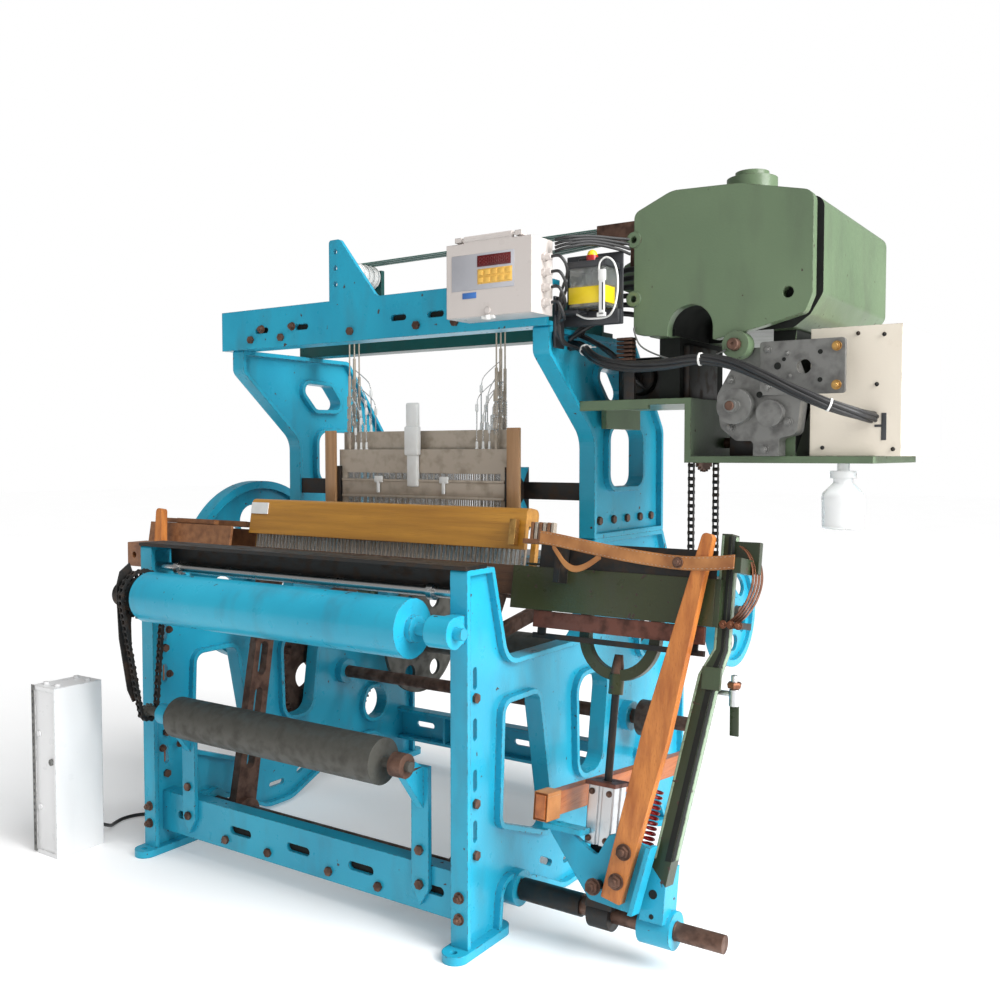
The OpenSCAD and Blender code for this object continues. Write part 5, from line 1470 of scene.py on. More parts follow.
@dataclass
class Lubricator:
    """Clear oil tank with its lid, knob, yellow band and gauge, on the right arch."""

    x: Pair = (684, 792)
    depth: Pair = (388, 462)
    z: Pair = (1640, 1744)
    wall: float = 3.0
    oil_gap: float = 0.4
    oil_level: float = 1700.0
    band: Pair = (1650, 1694)
    lid_z: Pair = (1744, 1762)
    knob: Point = (742, 410, 1762)
    filler: Pairs = ((0, 15), (12, 15), (15, 11), (15, 6))
    float_rod: tuple[float, ...] = (1664, 1700, 1746)
    float_r: float = 3.0
    knob_ring: Pairs = ((-2, 12), (0, 15), (13, 16), (16, 15), (16, 10))
    knob_dome: Pairs = ((15, 13.5), (20, 13.5), (26, 11), (30, 6.5), (31.5, 2))
    tube_r: float = 2.6
    tube: Route = (
        (777, -5, 1728), (780, -5, 1752), (797, -5, 1764), (817, -5, 1754), (829, -5, 1728),
        (833, -5, 1692), (829, -5, 1653), (818, -5, 1623), (790, 8, 1610), (730, 16, 1612),
        (696, 20, 1626),
    )

    def tank(self) -> None:
        """Makes the tank's clear walls and bottom, and the oil in it."""
        (x0, x1), (d0, d1), (z0, z1), t = self.x, self.depth, self.z, self.wall
        MeshBuilder().blocks(
            ((x0, d0, z0), (x1, d1, z0 + t), 0), ((x0, d0, z0 + t), (x1, d0 + t, z1), 0),
            ((x0, d1 - t, z0 + t), (x1, d1, z1), 0), ((x0, d0 + t, z0 + t), (x0 + t, d1 - t, z1), 0),
            ((x1 - t, d0 + t, z0 + t), (x1, d1 - t, z1), 0),
        ).place("oil_tank", Fit(Body.FRAME, Slot.LUBRICATOR, CLEAR_TANK), ["oil_reservoir"])
        inset = t + self.oil_gap
        MeshBuilder().blocks(
            ((x0 + inset, d0 + inset, z0 + inset), (x1 - inset, d1 - inset, self.oil_level), 0)
        ).place("oil_fill", Fit(Body.FRAME, Slot.LUBRICATOR, OIL))

    def lid(self) -> None:
        """Makes the lid with its filler and float, and the knob on it."""
        (x0, x1), (d0, d1), (low, high) = self.x, self.depth, self.lid_z
        lid = MeshBuilder().blocks(
            ((x0 - 6, d0 - 5, low), (x1 + 6, d1 + 5, high), 4),
            ((x0 + 60, d0 + 14, high - 2), (x1 - 10, d1 - 14, high + 10), 4),
        )
        lid.turned(at(x0 + 24, d0 + 37, high - 1), UP, self.filler, 28)
        lid.sweep([at(x0 + 50, d0 + 37, z) for z in self.float_rod], self.float_r * MM)
        lid.blocks(((x0 + 40, d0 + 27, 1652), (x0 + 60, d0 + 47, 1668), 3))
        lid.place("oil_lid", Fit(Body.FRAME, Slot.LUBRICATOR, DARK_PLASTIC))
        for name, finish, profile in (
            ("oil_knob_ring", KNOB_RED, self.knob_ring),
            ("oil_knob", None, self.knob_dome),
        ):
            part = MeshBuilder().turned(at(*self.knob), UP, profile, 28)
            part.place(name, Fit(Body.FRAME, Slot.LUBRICATOR, finish))

    def gauge(self) -> None:
        """Makes the gauge with its tube and dark sight."""
        x, d = self.x[1], self.depth[0]
        gauge = MeshBuilder().blocks(
            ((x - 14, d - 8, 1616), (x + 2, d - 1.6, 1734), 1.5),
            ((x - 16, d - 10, 1704), (x + 6, d - 1.6, 1734), 3),
            ((x - 20, d - 8, 1611), (x + 6, d - 1.6, 1622), 1.5),
        )
        gauge.sweep(curve([(across, d + back, z) for across, back, z in self.tube], 6), self.tube_r * MM, 10)
        gauge.place("oil_gauge", Fit(Body.FRAME, Slot.WHITE_PLASTIC))
        MeshBuilder().blocks(
            ((x - 4.5, d - 8.6, 1628), (x - 0.5, d - 7.6, 1700), 0.4)
        ).place("oil_sight", Fit(Body.FRAME, Slot.DARK_STEEL, DARK_PLASTIC))

    def build(self) -> None:
        """Makes the lubricator's pieces."""
        (x0, x1), (d0, d1), (low, high) = self.x, self.depth, self.band
        self.tank()
        MeshBuilder().blocks(
            ((x0 - 1, d0 - 1.2, low), (x1 + 1, d0 - 0.2, high), 0.4),
            ((x1 + 0.2, d0 - 1, low), (x1 + 1.2, d1 - 20, high), 0.4),
        ).place("oil_band", Fit(Body.FRAME, Slot.LUBRICATOR))
        self.lid()
        self.gauge()
        # The carrier's tall dark back plate is partly a mount and partly painted shade: it stands for the
        # black cables and the shade behind the tank.
        MeshBuilder().blocks(
            ((626, 400, 1540), (634, 450, 1680), 2), ((630, 400, 1628), (706, 450, 1639.5), 2),
            ((630, 450, 1600), (800, 474, 1639.5), 3), ((630, 468, 1600), (804, 474, 1794), 3),
        ).place("oil_carrier_and_shade_panel", Fit(Body.FRAME, Slot.LUBRICATOR, DARK_PLASTIC))


@dataclass
class HealdHarness:
    """Wires, springs and hooks of the three heald frames."""

    trees: Trees
    first_depth: float = 612.0
    pitch: float = 24.0
    low_z: float = 866.0
    raised: float = 60.0
    wires: int = 150
    wire_half: float = 318.0
    wire_z: Pair = (46.0, 336.0)
    wire_section: Pair = (0.7, 2.4)
    hook_x: Pair = (-308.0, 296.0)
    links: int = 4
    link_pitch: float = 42.0
    rods: int = 3
    rod_pitch: float = 24.0
    rod_step: float = 34.0
    rod_r: float = 1.8
    bend_r: float = 1.5
    ferrule: Pairs = ((0, 6), (4, 6), (6, 4.2), (22, 4.2), (26, 3), (26, 2))
    bead: Pairs = ((0, 3), (3, 5), (22, 5), (25, 3))
    spring_length: float = 110.0
    spring_r: float = 6.5
    spring_wire: float = 1.1
    spring_turns: int = 22
    frame_top: float = 400.0
    bar_half: float = 334.0
    bar_hooks: Pair = (-168, 104)
    spacer_x: float = -20.0
    spacer: tuple[tuple[float, float, float, float], ...] = (
        (1144, 1252, 21, 8), (1246, 1340, 27, 11), (1336, 1416, 23, 9)
    )
    post_x: Pair = (352, 398)

    def hooks(self, depth: float, base: float, body: Body, tag: str) -> None:
        """Makes one frame's springs and loops beside its two hook rods.

        Args:
            depth: The frame's depth.
            base: Height of the frame's lower edge.
            body: The body that carries it.
            tag: The frame's number in names.
        """
        loops, rods, links = MeshBuilder(), MeshBuilder(), MeshBuilder()
        top = base + self.frame_top
        for side, x in enumerate(self.hook_x):
            inward = 1.0 if side == 0 else -1.0
            for k in range(self.links):
                low = top + 20 + self.link_pitch * k
                links.blocks(
                    ((x - 8, depth - 5.6, low), (x + 8, depth - 3.2, low + 34), 0.8),
                    ((x - 3, depth - 5.2, low + 32), (x + 3, depth - 3.4, low + 44), 0.4),
                )
            for k in range(self.rods):
                rod = x + inward * (26 + self.rod_pitch * k)
                rise = self.rod_step * k
                rods.sweep([at(rod, depth, top - 6), at(rod, depth, top + 70 + rise)], self.rod_r * MM, 8)
                rods.sweep(curve([
                    (rod, depth, top + 68 + rise), (rod - inward * 12, depth, top + 100 + rise),
                    (x + inward * 5, depth, top + 150 + 30 * k),
                ], 5), self.bend_r * MM, 8)
                loops.turned(at(rod, depth, top - 2), UP, self.ferrule, 14)
                loops.turned(at(rod, depth, top + 48 + rise), UP, self.bead, 14)
            foot = at(x, depth, top + 42)
            self.trees.coils.coil(
                f"heald_spring_{tag}_{side}", foot, foot + UP * (self.spring_length * MM),
                self.spring_r * MM, self.spring_wire * MM, self.spring_turns, Fit(body, Slot.BRIGHT_STEEL),
            )
        rods.place(f"heald_rods_{tag}", Fit(body, Slot.BRIGHT_STEEL))
        links.place(f"heald_links_{tag}", Fit(body, Slot.HEALD_METAL))
        loops.place(f"heald_loops_{tag}", Fit(body, Slot.WHITE_PLASTIC))

    def front_bar(self) -> None:
        """Makes the carrying bar, its white hooks and the spacer of the front frame."""
        face, end = self.first_depth - 7, self.bar_half
        MeshBuilder().blocks(
            ((-end, face - 5, 1108), (end, face, 1166), 1), ((-end, face - 8, 1160), (end, face, 1168), 1),
            ((-end, face - 8, 1106), (end, face, 1114), 1),
        ).place("heald_bar", Fit(Body.HEALD_1, Slot.HEALD_METAL))
        hooks = MeshBuilder()
        for x in self.bar_hooks:
            hooks.blocks(
                ((x - 17, face - 13, 1156), (x + 17, face - 4, 1178), 3),
                ((x - 6, face - 14, 1122), (x + 6, face - 7, 1160), 3),
            )
        middle = self.spacer_x
        for low, high, wide, deep in self.spacer:
            hooks.blocks(((middle - wide, face - 2 * deep - 2, low), (middle + wide, face - 1, high), 5))
        hooks.place("heald_spacer", Fit(Body.HEALD_1, Slot.WHITE_PLASTIC))
        near, far = self.post_x
        MeshBuilder().blocks(
            ((-far, face - 22, 1072), (-near, face - 10.2, 1330), 2),
            ((near, face - 22, 1072), (far, face - 10.2, 1330), 2),
        ).place("heald_posts", Fit(Body.FRAME, Slot.STICK_WOOD, PALE_WOOD))

    def build(self) -> None:
        """Makes the wires, springs and hooks, and the spacer on the front frame."""
        size = Vector((*self.wire_section, self.wire_z[1] - self.wire_z[0])) * MM
        for k, body in enumerate((Body.HEALD_1, Body.HEALD_2, Body.HEALD_3)):
            depth = self.first_depth + k * self.pitch
            base = self.low_z + (self.raised if k == 1 else 0.0)
            middle = base + sum(self.wire_z) / 2
            ends = at(-self.wire_half, depth, middle), at(self.wire_half, depth, middle)
            fit = Fit(body, Slot.BRIGHT_STEEL)
            self.trees.wires.row(f"heald_wires_{k + 1}", *ends, self.wires, size, fit)
            self.hooks(depth, base, body, str(k + 1))
        self.front_bar()


@dataclass(frozen=True)
class LayBlocks:
    """Blocks that lean with the lay, as one piece: the ends, front and back, bottom and top of each."""

    name: str
    slot: Slot
    finish: Finish | None
    blocks: tuple[tuple[Pair, Pair, Pair], ...]

    def build(self) -> None:
        """Makes the piece."""
        made = MeshBuilder()
        for x, v, w in self.blocks:
            made.leaning(x, v, w)
        made.place(self.name, Fit(Body.LAY, self.slot, self.finish))


LAY_BLOCKS = (
    LayBlocks("buffer_seat", Slot.DARK_STEEL, None, (((1150, 1206), (-62, 6), (736, 752)),)),
    LayBlocks("lay_brown_bars", Slot.RUSTY_STEEL, BAR_BROWN, (
        ((636, 1120), (-73, -63), (690, 734)),
        ((838, 922), (-80, -50), (316, 326)),
        ((838, 922), (-26, 4), (316, 326)),
        ((838, 866), (-50, -26), (316, 326)),
        ((894, 922), (-50, -26), (316, 326)),
    )),
    LayBlocks("left_box_strips", Slot.STICK_WOOD, BLOCK_WOOD, (
        ((-990, -690), (-50, -30), (915, 930)),
        ((-960, -600), (10, 30), (917, 936)),
    )),
    LayBlocks("reed_cap_tag", Slot.WHITE_PLASTIC, None, (((-548, -470), (-21, -17.5), (962, 1000)),)),
    LayBlocks("sword_block", Slot.DOBBY_GREEN, BLOCK_GREEN, (((1116, 1163), (-60, -50), (586, 640)),)),
    LayBlocks("race_end_guide", Slot.STRAP_LEATHER, BRASS, (((512, 532), (-44, -24), (906, 978)),)),
)


@dataclass
class LayFittings:
    """What the lay carries: reed wires, check strap, leaf buffers and spring."""

    trees: Trees
    reed_half: float = 532.0
    reed_v: float = 14.0
    reed_w: Pair = (853.0, 953.0)
    reed_section: Pair = (0.9, 3.0)
    dents: int = 260
    strap_v: float = -121.5
    strap_width: float = 34.0
    strap_thick: float = 5.0
    strap_line: Pairs = (
        (664, 925), (720, 919), (790, 909), (870, 898), (960, 888), (1060, 881), (1140, 884), (1200, 891)
    )
    loop_line: Pairs = ((704, 906), (722, 884), (748, 858), (776, 848), (808, 858), (848, 886))
    leaves: int = 4
    leaf_line: Pairs = (
        (1172, 752), (1192, 772), (1212, 808), (1222, 850), (1218, 888), (1204, 918), (1184, 934)
    )
    leaf_front: float = -50.0
    leaf_pitch: float = 15.0
    leaf_step: float = 2.0
    leaf_width: float = 12.0
    leaf_thick: float = 2.4
    buffer_bolts: tuple[float, ...] = (1160, 1180, 1199)
    spring_ends: tuple[Point, Point] = ((985, -20, 150), (1010, -30, 330))
    spring_r: float = 16.0
    spring_wire: float = 3.5
    spring_turns: int = 14
    sleeve: Pairs = ((0, 24), (0, 29), (180, 29), (180, 24))
    cone: Pairs = ((0, 10), (0, 17), (30, 18), (70, 15), (96, 11), (96, 10))
    sword_right: Pairs = ((1074, 170), (1148, 620), (1166, 680), (1166, 958))
    sword_left: Pairs = ((1029, 170), (1106, 620), (1140, 684), (1140, 958))
    # Outline of the painted shadow inside the sword's channel.
    channel: Pairs = (
        (1058, 170), (1073, 170), (1147, 620), (1165, 681), (1165, 956), (1158, 956), (1158, 684), (1134, 622)
    )
    # Height and radius of each clamp hole, drawn as a disc of painted shade.
    clamp_hole_shadows: Pairs = ((86, 11), (34, 6))
    pull_rod: Pairs = ((0, 4), (0, 13), (40, 12), (42, 8), (74, 8), (76, 2))
    pull_pin: Pairs = ((0, 3), (0, 7), (40, 7), (40, 3))
    pull_nut: Pairs = ((0, 8.2), (0, 17), (10, 19), (14, 15), (14, 8.2))
    stop_leaves: int = 6
    stop_first: float = 584.0
    stop_pitch: float = 13.0

    def reed(self) -> None:
        """Makes the reed's wires."""
        middle = sum(self.reed_w) / 2
        ends = [LAY.point(x, self.reed_v, middle) for x in (-self.reed_half, self.reed_half)]
        size = Vector((*self.reed_section, self.reed_w[1] - self.reed_w[0])) * MM
        fit = Fit(Body.LAY, Slot.BRIGHT_STEEL)
        self.trees.wires.row("reed_wires", *ends, self.dents, size, fit, -LAY.lean)

    def strap(self) -> None:
        """Makes the leather check strap with its hanging loop, sewn along both edges."""
        up = LAY.point(0, 0, self.strap_width) - LAY.point(0, 0, 0)
        line = smooth_route([LAY.point(x, self.strap_v, w) for x, w in self.strap_line], 6)
        tongue = smooth_route([LAY.point(x, self.strap_v + 0.4, w) for x, w in self.loop_line], 6)
        band = MeshBuilder().ribbon(line, up, self.strap_thick * MM)
        band.ribbon(tongue, up * 0.5, self.strap_thick * MM * 0.8)
        band.place("check_strap", Fit(Body.LAY, Slot.STRAP_LEATHER), ["picking_strap"])
        out = LAY.front() * (self.strap_thick / 2 + 0.2) * MM
        seams = [[p + out + up * s for p in line] for s in (-0.38, 0.38)]
        fit = Fit(Body.LAY, Slot.STRAP_LEATHER, FINISHES[Slot.HEALD_METAL])
        self.trees.stitches.seam("strap_stitches", seams, 0.011, fit)

    def buffers(self) -> None:
        """Makes the leaf buffers beside the outer sword's head, with their bolts."""
        leaves = MeshBuilder()
        for k in range(self.leaves):
            v, out = self.leaf_front + self.leaf_pitch * k, self.leaf_step * k
            line = smooth_route([LAY.point(x + out, v, w) for x, w in self.leaf_line], 5)
            leaves.ribbon(line, LAY.front() * (self.leaf_width * MM), self.leaf_thick * MM)
        leaves.place("buffer_leaves", Fit(Body.LAY, Slot.STRAP_LEATHER, COPPER))
        places = [Bolt(LAY.point(x, -62, 744), LAY.front(), 0.75) for x in self.buffer_bolts]
        self.trees.bolts.set("buffer_bolts", places, Fit(Body.LAY, Slot.RUSTY_STEEL, COPPER))

    def bolts(self) -> None:
        """Makes the bolts of the box plate, the cylinder and the sword."""
        out = LAY.front()
        places = [
            Bolt(LAY.point(906, -122, 86), out, 1.5),
            Bolt(LAY.point(1060, self.strap_v - 3, 881), out, 1.0),
        ]
        places += [Bolt(LAY.point(lift, -74, w), out, 0.6) for lift in (856, 904) for w in (186, 300)]
        self.trees.bolts.set("lay_bolts", places, Fit(Body.LAY, Slot.RUSTY_STEEL))

    def bars(self) -> None:
        """Makes the black bars with the shaft's sleeve, the fork's cone and the return spring."""
        black = MeshBuilder().leaning((636, 1120), (-70, -58), (662, 676))
        black.leaning((640, 1139), (-73, -69), (849, 918))
        for x in (650, 1080):
            black.leaning((x, x + 24), (-70, -64), (670, 700))
        black.turned(LAY.point(640, 0, 0), RIGHT, self.sleeve, 32)
        black.place("lay_black_bars", Fit(Body.LAY, Slot.DARK_STEEL))
        upwards = LAY.point(0, 0, 1) - LAY.point(0, 0, 0)
        cone = MeshBuilder().turned(LAY.point(880, -38, 546), upwards, self.cone, 28)
        cone.place("fork_cone", Fit(Body.BOXES, Slot.RUSTY_STEEL))
        foot, head = [LAY.point(*end) for end in self.spring_ends]
        self.trees.coils.coil(
            "return_spring", foot, head, self.spring_r * MM, self.spring_wire * MM, self.spring_turns,
            Fit(Body.LAY, Slot.RUSTY_STEEL, KNOB_RED),
        )

    def sword(self) -> None:
        """Makes the outer sword's channel as a strip of painted shadow, its rims as painted highlight, and
        its clamp holes as discs of painted shade.
        """
        right = [LAY.point(x + 0.6, 0, w) for x, w in self.sword_right]
        left = [LAY.point(x + 3, -57.4, w) for x, w in self.sword_left]
        front = LAY.front()
        # Painted shadow: matt black strips stand for the shade inside the sword's channel.
        channel = MeshBuilder().ribbon([p + front * 0.046 for p in right], front * 0.020, 0.0008)
        channel.plate([LAY.point(x, -57.7, w) for x, w in self.channel], front * -0.0006)
        channel.place("sword_channel_shadow", Fit(Body.LAY, Slot.DARK_STEEL, SHADOW))
        # Painted highlight: pale green strips stand for the light on the sword's edges.
        rims = MeshBuilder().ribbon([p + front * 0.023 for p in right], front * 0.022, 0.0010)
        rims.ribbon(left, RIGHT * 0.006, 0.0010)
        rims.place("sword_rim_highlights", Fit(Body.LAY, Slot.DOBBY_GREEN, RIM_HIGHLIGHT_GREEN))
        # Painted shade: dark discs stand for the shade inside the clamp holes.
        holes = MeshBuilder()
        for w, r in self.clamp_hole_shadows:
            holes.turned(LAY.point(1034, -57.0, w), front, [(0, r), (0.8, r), (0.8, 1)], 24)
        holes.place("clamp_hole_shadows", Fit(Body.LAY, Slot.DARK_STEEL, SHADOW))

    def pull(self) -> None:
        """Makes the pull rod beside the outer sword, with its plate and nut."""
        MeshBuilder().blocks(
            ((1164, 342, 566), (1186, 350, 652), 1)
        ).place("pull_plate", Fit(Body.LAY, Slot.DOBBY_GREEN, SWORD_GREEN))
        rod = MeshBuilder().turned(at(1174, 346, 640), UP, self.pull_rod, 24)
        rod.turned(at(1134, 346, 668), RIGHT, self.pull_pin, 20)
        rod.place("pull_rod", Fit(Body.LAY, Slot.GREY_CAST, SILVER))
        nut = MeshBuilder().turned(at(1174, 346, 684), UP, self.pull_nut, 6)
        nut.place("pull_nut", Fit(Body.LAY, Slot.STRAP_LEATHER, COPPER))

    def stops(self) -> None:
        """Makes the stop leaves and their board at the race's right end."""
        pale, brown = MeshBuilder(), MeshBuilder()
        for k in range(self.stop_leaves):
            x = self.stop_first + self.stop_pitch * k
            (pale if k % 2 else brown).leaning((x, x + 8), (-46, -30), (924, 972))
        brown.leaning((566, 664), (-52, -29), (912, 925))
        pale.place("stop_leaves", Fit(Body.LAY, Slot.HEALD_METAL))
        brown.place("stop_boards", Fit(Body.LAY, Slot.STICK_WOOD, BLOCK_WOOD))

    def build(self) -> None:
        """Makes the fittings."""
        for blocks in LAY_BLOCKS:
            blocks.build()
        for step in (
            self.reed, self.strap, self.buffers, self.bolts, self.bars, self.sword, self.pull, self.stops
        ):
            step()


@dataclass
class PickingFittings:
    """Bolts and leather on the right picking stick and the side lever."""

    trees: Trees
    stick_front: float = -118.0
    foot_bolts: Pairs = ((964.0, 110.0), (978.0, 182.0))
    lever_x: float = 776.0
    lever_tip: Pair = (96.0, 386.0)
    lever_pivot: Pair = (950.0, 286.0)
    wrap_half: Pair = (18.0, 33.0)
    wrap_reach: Pair = (2.0, 66.0)
    wrap_thick: float = 1.6

    def lever_point(self, x: float, back: float, up: float) -> Vector:
        """A point on the lever.

        Args:
            x: Millimetres across.
            back: Millimetres from the tip towards the pivot.
            up: Millimetres above the lever's middle.

        Returns:
            The point in the shared frame.
        """
        (depth, height), pivot = self.lever_tip, self.lever_pivot
        run = Vector((pivot[0] - depth, pivot[1] - height))
        run.normalize()
        return at(x, depth + back * run.x - up * run.y, height + back * run.y + up * run.x)

    def wrap(self) -> None:
        """Makes the lever's sewn leather sleeve."""
        (half_x, half_z), (near, far), t = self.wrap_half, self.wrap_reach, self.wrap_thick
        corners = ((-1, -1), (1, -1), (1, 1), (-1, 1))
        outer = [(a * (half_x + t), b * (half_z + t)) for a, b in corners]
        inner = [(a * half_x, b * half_z) for a, b in corners]
        loops = [(outer, near), (outer, far), (inner, far), (inner, near), (outer, near)]
        rings = [[self.lever_point(self.lever_x + x, back, z) for x, z in ring] for ring, back in loops]
        sleeve = MeshBuilder().loft(rings, closed=False)
        bmesh.ops.remove_doubles(sleeve.mesh, verts=sleeve.mesh.verts, dist=1e-6)
        bmesh.ops.recalc_face_normals(sleeve.mesh, faces=sleeve.mesh.faces)
        sleeve.place("lever_wrap", Fit(Body.SIDE_LEVER, Slot.STRAP_LEATHER))
        seam = [
            self.lever_point(self.lever_x + half_x + t + 0.3, near + 4 + (far - near - 8) * k / 6, half_z - 8)
            for k in range(7)
        ]
        fit = Fit(Body.SIDE_LEVER, Slot.STRAP_LEATHER, FINISHES[Slot.HEALD_METAL])
        self.trees.stitches.seam("wrap_stitches", [seam], 0.009, fit)

    def build(self) -> None:
        """Makes the fittings."""
        places = [Bolt(LAY.point(x, self.stick_front, w), LAY.front(), 1.45) for x, w in self.foot_bolts]
        self.trees.bolts.set("stick_bolts", places, Fit(Body.RIGHT_STICK, Slot.RUSTY_STEEL))
        self.wrap()


@dataclass
class DobbyTrim:
    """Pins, screws and plugs on the dobby, its gearbox and its drive box."""

    trees: Trees
    plate_depth: float = 508.0
    gearbox_depth: float = 520.0
    drive_face: float = 575.0
    long_pin: Pairs = ((0, 15.4), (46, 15.4), (49, 13), (49, 4), (46, 3))
    short_pin: Pairs = ((0, 12), (15, 12), (17, 10), (17, 3))
    dial: Pairs = ((0, 50), (26, 50), (32, 44), (32, 20), (26, 16), (26, 6))
    # Across, height and radius of each gearbox hole, drawn as a disc of painted shade.
    holes: tuple[tuple[float, float, float], ...] = (
        (1216, 1470, 9), (1232, 1486, 5), (1322, 1432, 6), (1322, 1500, 6), (1170, 1400, 8)
    )
    terminal_count: int = 8
    terminal_first: float = 1486.0
    terminal_pitch: float = 11.0
    low_hoses: int = 4
    low_hose_r: float = 5.5
    high_hoses: int = 6
    high_hose_r: float = 7.5
    wire_r: float = 2.2
    wire_line: Route = (
        (832, 484, 1590), (836, 472, 1578), (857, 470, 1537), (913, 470, 1508), (975, 470, 1492),
        (1039, 470, 1496), (1082, 468, 1508), (1098, 463, 1514),
    )

    def fasteners(self) -> None:
        """Makes the pins, bolts and screws, and the holes as discs of painted shade."""
        pins = MeshBuilder()
        pins.turned(at(1118, 500, 1526), FRONT, self.long_pin, 32)
        pins.turned(at(1110, 470, 1372), FRONT, self.short_pin, 28)
        pins.place("dobby_pins", Fit(Body.FRAME, Slot.RUSTY_STEEL))
        plate, case, face = self.plate_depth, self.gearbox_depth, self.drive_face
        for name, slot, finish, rows in (
            ("dobby_bolts", Slot.GREY_CAST, None, (
                (1190, plate, 1418, 0.8), (1190, plate, 1512, 0.8),
                (1240, plate, 1500, 0.5), (1246, plate, 1444, 0.5),
                (1090, case, 1318, 0.9), (1180, case, 1262, 0.9),
                (1240, case, 1330, 0.9), (1090, case, 1440, 0.9),
            )),
            ("dobby_brass_bolts", Slot.GREY_CAST, BRASS, (
                (1362, plate, 1418, 0.9), (1362, plate, 1512, 0.9),
            )),
            ("drive_box_screws", Slot.DARK_STEEL, None, (
                (1394, face, 1546, 0.38), (1456, face, 1540, 0.38), (1440, face, 1420, 0.38),
                (1310, face, 1266, 0.38), (1480, face, 1262, 0.38),
            )),
        ):
            places = [Bolt(at(x, depth, z), FRONT, size) for x, depth, z, size in rows]
            self.trees.bolts.set(name, places, Fit(Body.FRAME, slot, finish))
        # Painted shade: dark discs stand for the shade inside the gearbox holes.
        holes = MeshBuilder()
        for x, z, r in self.holes:
            holes.turned(at(x, plate, z), FRONT, [(0, r), (0.6, r), (0.6, 1)], 24)
        holes.place("gearbox_hole_shadows", Fit(Body.FRAME, Slot.DARK_STEEL, SHADOW))
        # Painted shade: a thin dark mark stands for the shade inside the drive box's slot.
        MeshBuilder().blocks(
            ((1452, 573.6, 1284), (1464, 575.2, 1350), 0.5), ((1436, 573.6, 1316), (1454, 575.2, 1322), 0.5)
        ).place("drive_box_slot_shadow", Fit(Body.FRAME, Slot.DARK_STEEL, DARK_PLASTIC))

    def gear_case(self) -> None:
        """Makes the dark case and the hoses between the arch and the dobby."""
        case = MeshBuilder().blocks(
            ((700, 640, 1400.5), (858, 800, 1524), 8), ((920.5, 600, 1400.5), (940, 800, 1548), 4),
            ((1040, 640, 1245.3), (1164, 646, 1330), 2),
        )
        case.turned(at(776, 642, 1466), FRONT, self.dial, 36)
        case.place("gear_case", Fit(Body.FRAME, Slot.DARK_STEEL))
        hoses = MeshBuilder()
        for k in range(self.low_hoses):
            hoses.sweep(curve([
                (622, 548 + 13 * k, 1588), (680 + 14 * k, 566, 1556 - 8 * k),
                (742 + 12 * k, 588, 1500 - 14 * k), (776 + 10 * k, 622, 1450 - 6 * k),
                (790 + 8 * k, 648, 1430 + 4 * k),
            ], 6), self.low_hose_r * MM, 10)
        for k in range(self.high_hoses):
            hoses.sweep(curve([
                (620, 500 + 14 * k, 1572 + 4 * k), (672, 508 + 12 * k, 1602 + 18 * k),
                (740, 530 + 8 * k, 1634 + 24 * k), (800, 548 + 8 * k, 1632 + 26 * k),
                (850, 560 + 12 * k, 1606 + 26 * k),
            ], 6), self.high_hose_r * MM, 10)
        hoses.place("gear_hoses", Fit(Body.FRAME, Slot.BLACK_CABLE))

    def terminals(self) -> None:
        """Makes the terminal strip beside the pedestal."""
        MeshBuilder().blocks(
            ((764, 552, 1400), (796, 562, 1572), 1)
        ).place("terminal_backing", Fit(Body.FRAME, Slot.DARK_STEEL))
        heights = [self.terminal_first + self.terminal_pitch * k for k in range(self.terminal_count)]
        MeshBuilder().blocks(
            *(((754, 528, z), (802, 552.5, z + 7), 0.8) for z in heights)
        ).place("terminal_blocks", Fit(Body.FRAME, Slot.RUSTY_STEEL))

    def build(self) -> None:
        """Makes the trim."""
        self.fasteners()
        self.terminals()
        self.gear_case()
        wire = MeshBuilder().sweep(curve(self.wire_line, 5), self.wire_r * MM, 8)
        wire.place("dobby_wire", Fit(Body.FRAME, Slot.GREY_CAST))


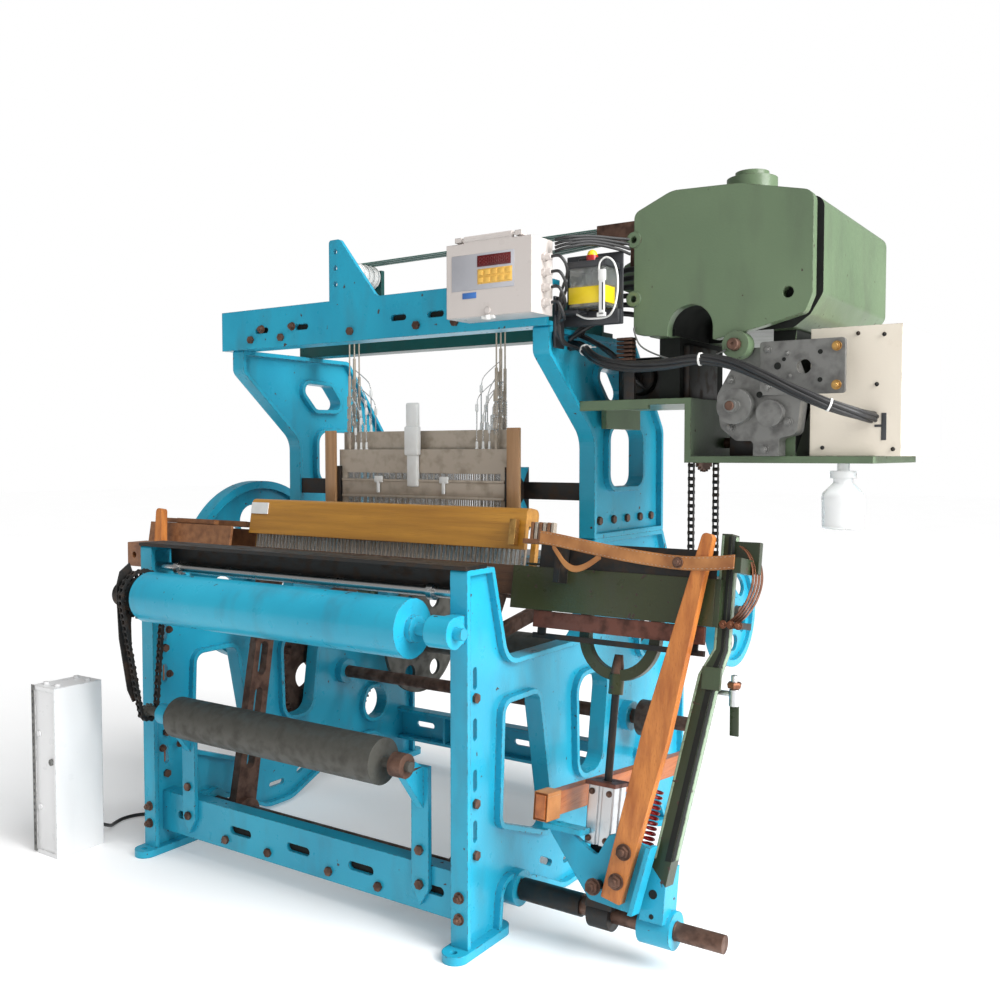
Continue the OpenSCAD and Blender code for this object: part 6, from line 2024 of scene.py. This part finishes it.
@dataclass
class FrameTrim:
    """Bolts on the castings, painted shade in the slots of the rail and the beam and in the cabinet rail's
    holes, the chain guard, and the cabinet's rail and lock.
    """

    trees: Trees
    left_inner: float = -574.0
    inner_bolts: Pairs = ((30, 330), (96, 330), (60, 560), (60, 700))
    # Size of each dark plate of painted shade behind a slot.
    slot_back: Size = (104, 1.2, 34)
    guard_x: float = -565.0
    guard_line: Pairs = (
        (-135, 856), (-122, 900), (-88, 924), (-79, 900), (-80, 800), (-86, 740), (-84, 640),
        (-68, 540), (-64, 505), (-84, 500), (-102, 540), (-128, 700),
    )
    # Count and size of the dark marks of painted shade in the cabinet rail's holes.
    rail_holes: int = 24
    rail_hole: Size = (5, 1.0, 9)
    lock: Pairs = ((0, 10), (5, 10), (6, 8), (6, 3), (4, 2))

    def build(self) -> None:
        """Makes the trim."""
        places = [Bolt(at(x, 0, z), FRONT, 1.1) for x in (-600, 600) for z in (96, 150)]
        places += [
            Bolt(at(self.left_inner, depth, z), RIGHT, 0.9) for depth, z in self.inner_bolts
        ]
        places += [Bolt(at(x, 366, 1660), FRONT, 1.0) for x in (-470, -330)]
        self.trees.bolts.set("frame_small_bolts", places, Fit(Body.FRAME, Slot.RUSTY_STEEL))
        # Painted shade: dark plates behind the slots and dark marks in the holes stand for the shade inside
        # them.
        for name, first, last, count, size, finish in (
            ("rail_slot_shadows", (-474.4, 57, 127.5), (474.4, 57, 127.5), 5, self.slot_back, SHADOW),
            ("beam_left_slot_shadows", (-470, 381, 1656), (-290, 381, 1656), 2, self.slot_back, SHADOW),
            ("beam_right_slot_shadows", (110, 381, 1656), (250, 381, 1656), 2, self.slot_back, SHADOW),
            ("cabinet_rail_hole_shadows", (-903.5, -199, 30), (-903.5, -199, 510), self.rail_holes,
             self.rail_hole, DARK_PLASTIC),
        ):
            fit = Fit(Body.FRAME, Slot.DARK_STEEL, finish)
            self.trees.wires.row(name, at(*first), at(*last), count, Vector(size) * MM, fit)
        outline = [at(self.guard_x, depth, z) for depth, z in self.guard_line]
        guard = MeshBuilder().plate(outline, RIGHT * 0.004)
        guard.place("chain_guard", Fit(Body.FRAME, Slot.DARK_STEEL))
        MeshBuilder().blocks(
            ((-911, -199, 6), (-896, -197, 532), 0.5)
        ).place("cabinet_rail", Fit(Body.FRAME, Slot.GREY_CAST))
        lock = MeshBuilder().turned(at(-815, -194, 300), FRONT, self.lock, 24)
        lock.place("cabinet_lock", Fit(Body.FRAME, Slot.GREY_CAST))


@dataclass(frozen=True)
class Patch:
    """Faces of one node, inside a box in millimetres, that take another finish."""

    node: str
    finish: Finish
    low: Point
    high: Point

    def holds(self, point: Vector) -> bool:
        """Whether a face with this middle is in the box."""
        low, high = at(*self.low), at(*self.high)
        return all(low[k] < point[k] < high[k] for k in range(3))


@dataclass(frozen=True)
class Foot:
    """The faces of one node that lie low on the lay, which take another finish."""

    node: str
    finish: Finish
    height: float

    def holds(self, point: Vector) -> bool:
        """Whether a face with this middle is low enough."""
        return LAY.rise(point) < self.height


OWN_FINISHES: dict[str, Finish] = {
    "right_side_lever": LEVER_WOOD,
    "breast_end_block": BLOCK_WOOD,
    "left_shuttle_box": BLOCK_WOOD,
    "lift_cylinder": SILVER,
    "outer_sword": SWORD_GREEN,
    "oil_drip_bottle": BOTTLE,
}
SECOND_FINISHES: tuple[Patch | Foot, ...] = (
    Foot("outer_sword", FINISHES[Slot.LOOM_BLUE], 152.0),
    Foot("lift_fork", FINISHES[Slot.DARK_STEEL], 540.0),
    Foot("lift_cylinder", FINISHES[Slot.DARK_STEEL], 150.0),
    Patch("dobby_housing", SHADOW, (800, 500, 1500), (1400, 539.5, 2000)),
    Patch("dobby_housing", SHADOW, (920, 500, 1500), (1058, 790, 1642)),
    Patch("dobby_bracket", SHADOW, (850, 560, 1402), (1250, 1000, 1570)),
    Patch("take_up_roller", FINISHES[Slot.DARK_STEEL], (-700, -300, 500), (-522, 300, 1100)),
    Patch("box_front_plate", FINISHES[Slot.DARK_STEEL], (711, 150, 860), (731, 340, 1060)),
    Patch("left_side_frame", FINISHES[Slot.DARK_STEEL], (-650, -130, 780), (-550, -2, 930)),
    Patch("cloth_roller_brackets", FINISHES[Slot.RUSTY_STEEL], (400, -90, 430), (500, -2, 512)),
    Patch("right_arch", FINISHES[Slot.DARK_STEEL], (250, 550, 1090), (560, 900, 1190)),
    Patch("left_arch", FINISHES[Slot.DARK_STEEL], (-560, 550, 1090), (-250, 900, 1190)),
)


class Solids:
    """The CAD nodes, each with its slot's finish."""

    def repaint(self, node: bpy.types.Object, part: Patch | Foot) -> None:
        """Gives some faces of a node their own finish.

        Args:
            node: The node.
            part: Which faces they are, and the finish.
        """
        node.data.materials.append(material(part.finish))
        for face in node.data.polygons:
            if part.holds(face.center):
                face.material_index = len(node.data.materials) - 1

    def build(self) -> None:
        """Dresses every node."""
        for row in frame["record"]["subparts"]:
            node = frame["nodes"][row["node"]]
            finish = OWN_FINISHES.get(row["node"], FINISHES[Slot(row["material_slot"])])
            node.data.materials.clear()
            node.data.materials.append(material(finish))
            for part in SECOND_FINISHES:
                if part.node == row["node"]:
                    self.repaint(node, part)
            LOG.info("%s in %s", row["node"], finish.name)


def main() -> None:
    """Builds the scene in order."""
    logging.basicConfig(level=logging.INFO, format="%(name)s: %(message)s")
    studio = Studio()
    studio.camera()
    trees = Trees(BoltTree(), WireRowTree(), CoilTree(), StitchTree())
    for assembly in (
        FloorCable(), Solids(), CableLoom(), ControlPanel(), Lubricator(), HealdHarness(trees),
        LayFittings(trees), PickingFittings(trees), DobbyTrim(trees), FrameTrim(trees), studio,
    ):
        assembly.build()


if __name__ == "__main__":
    main()
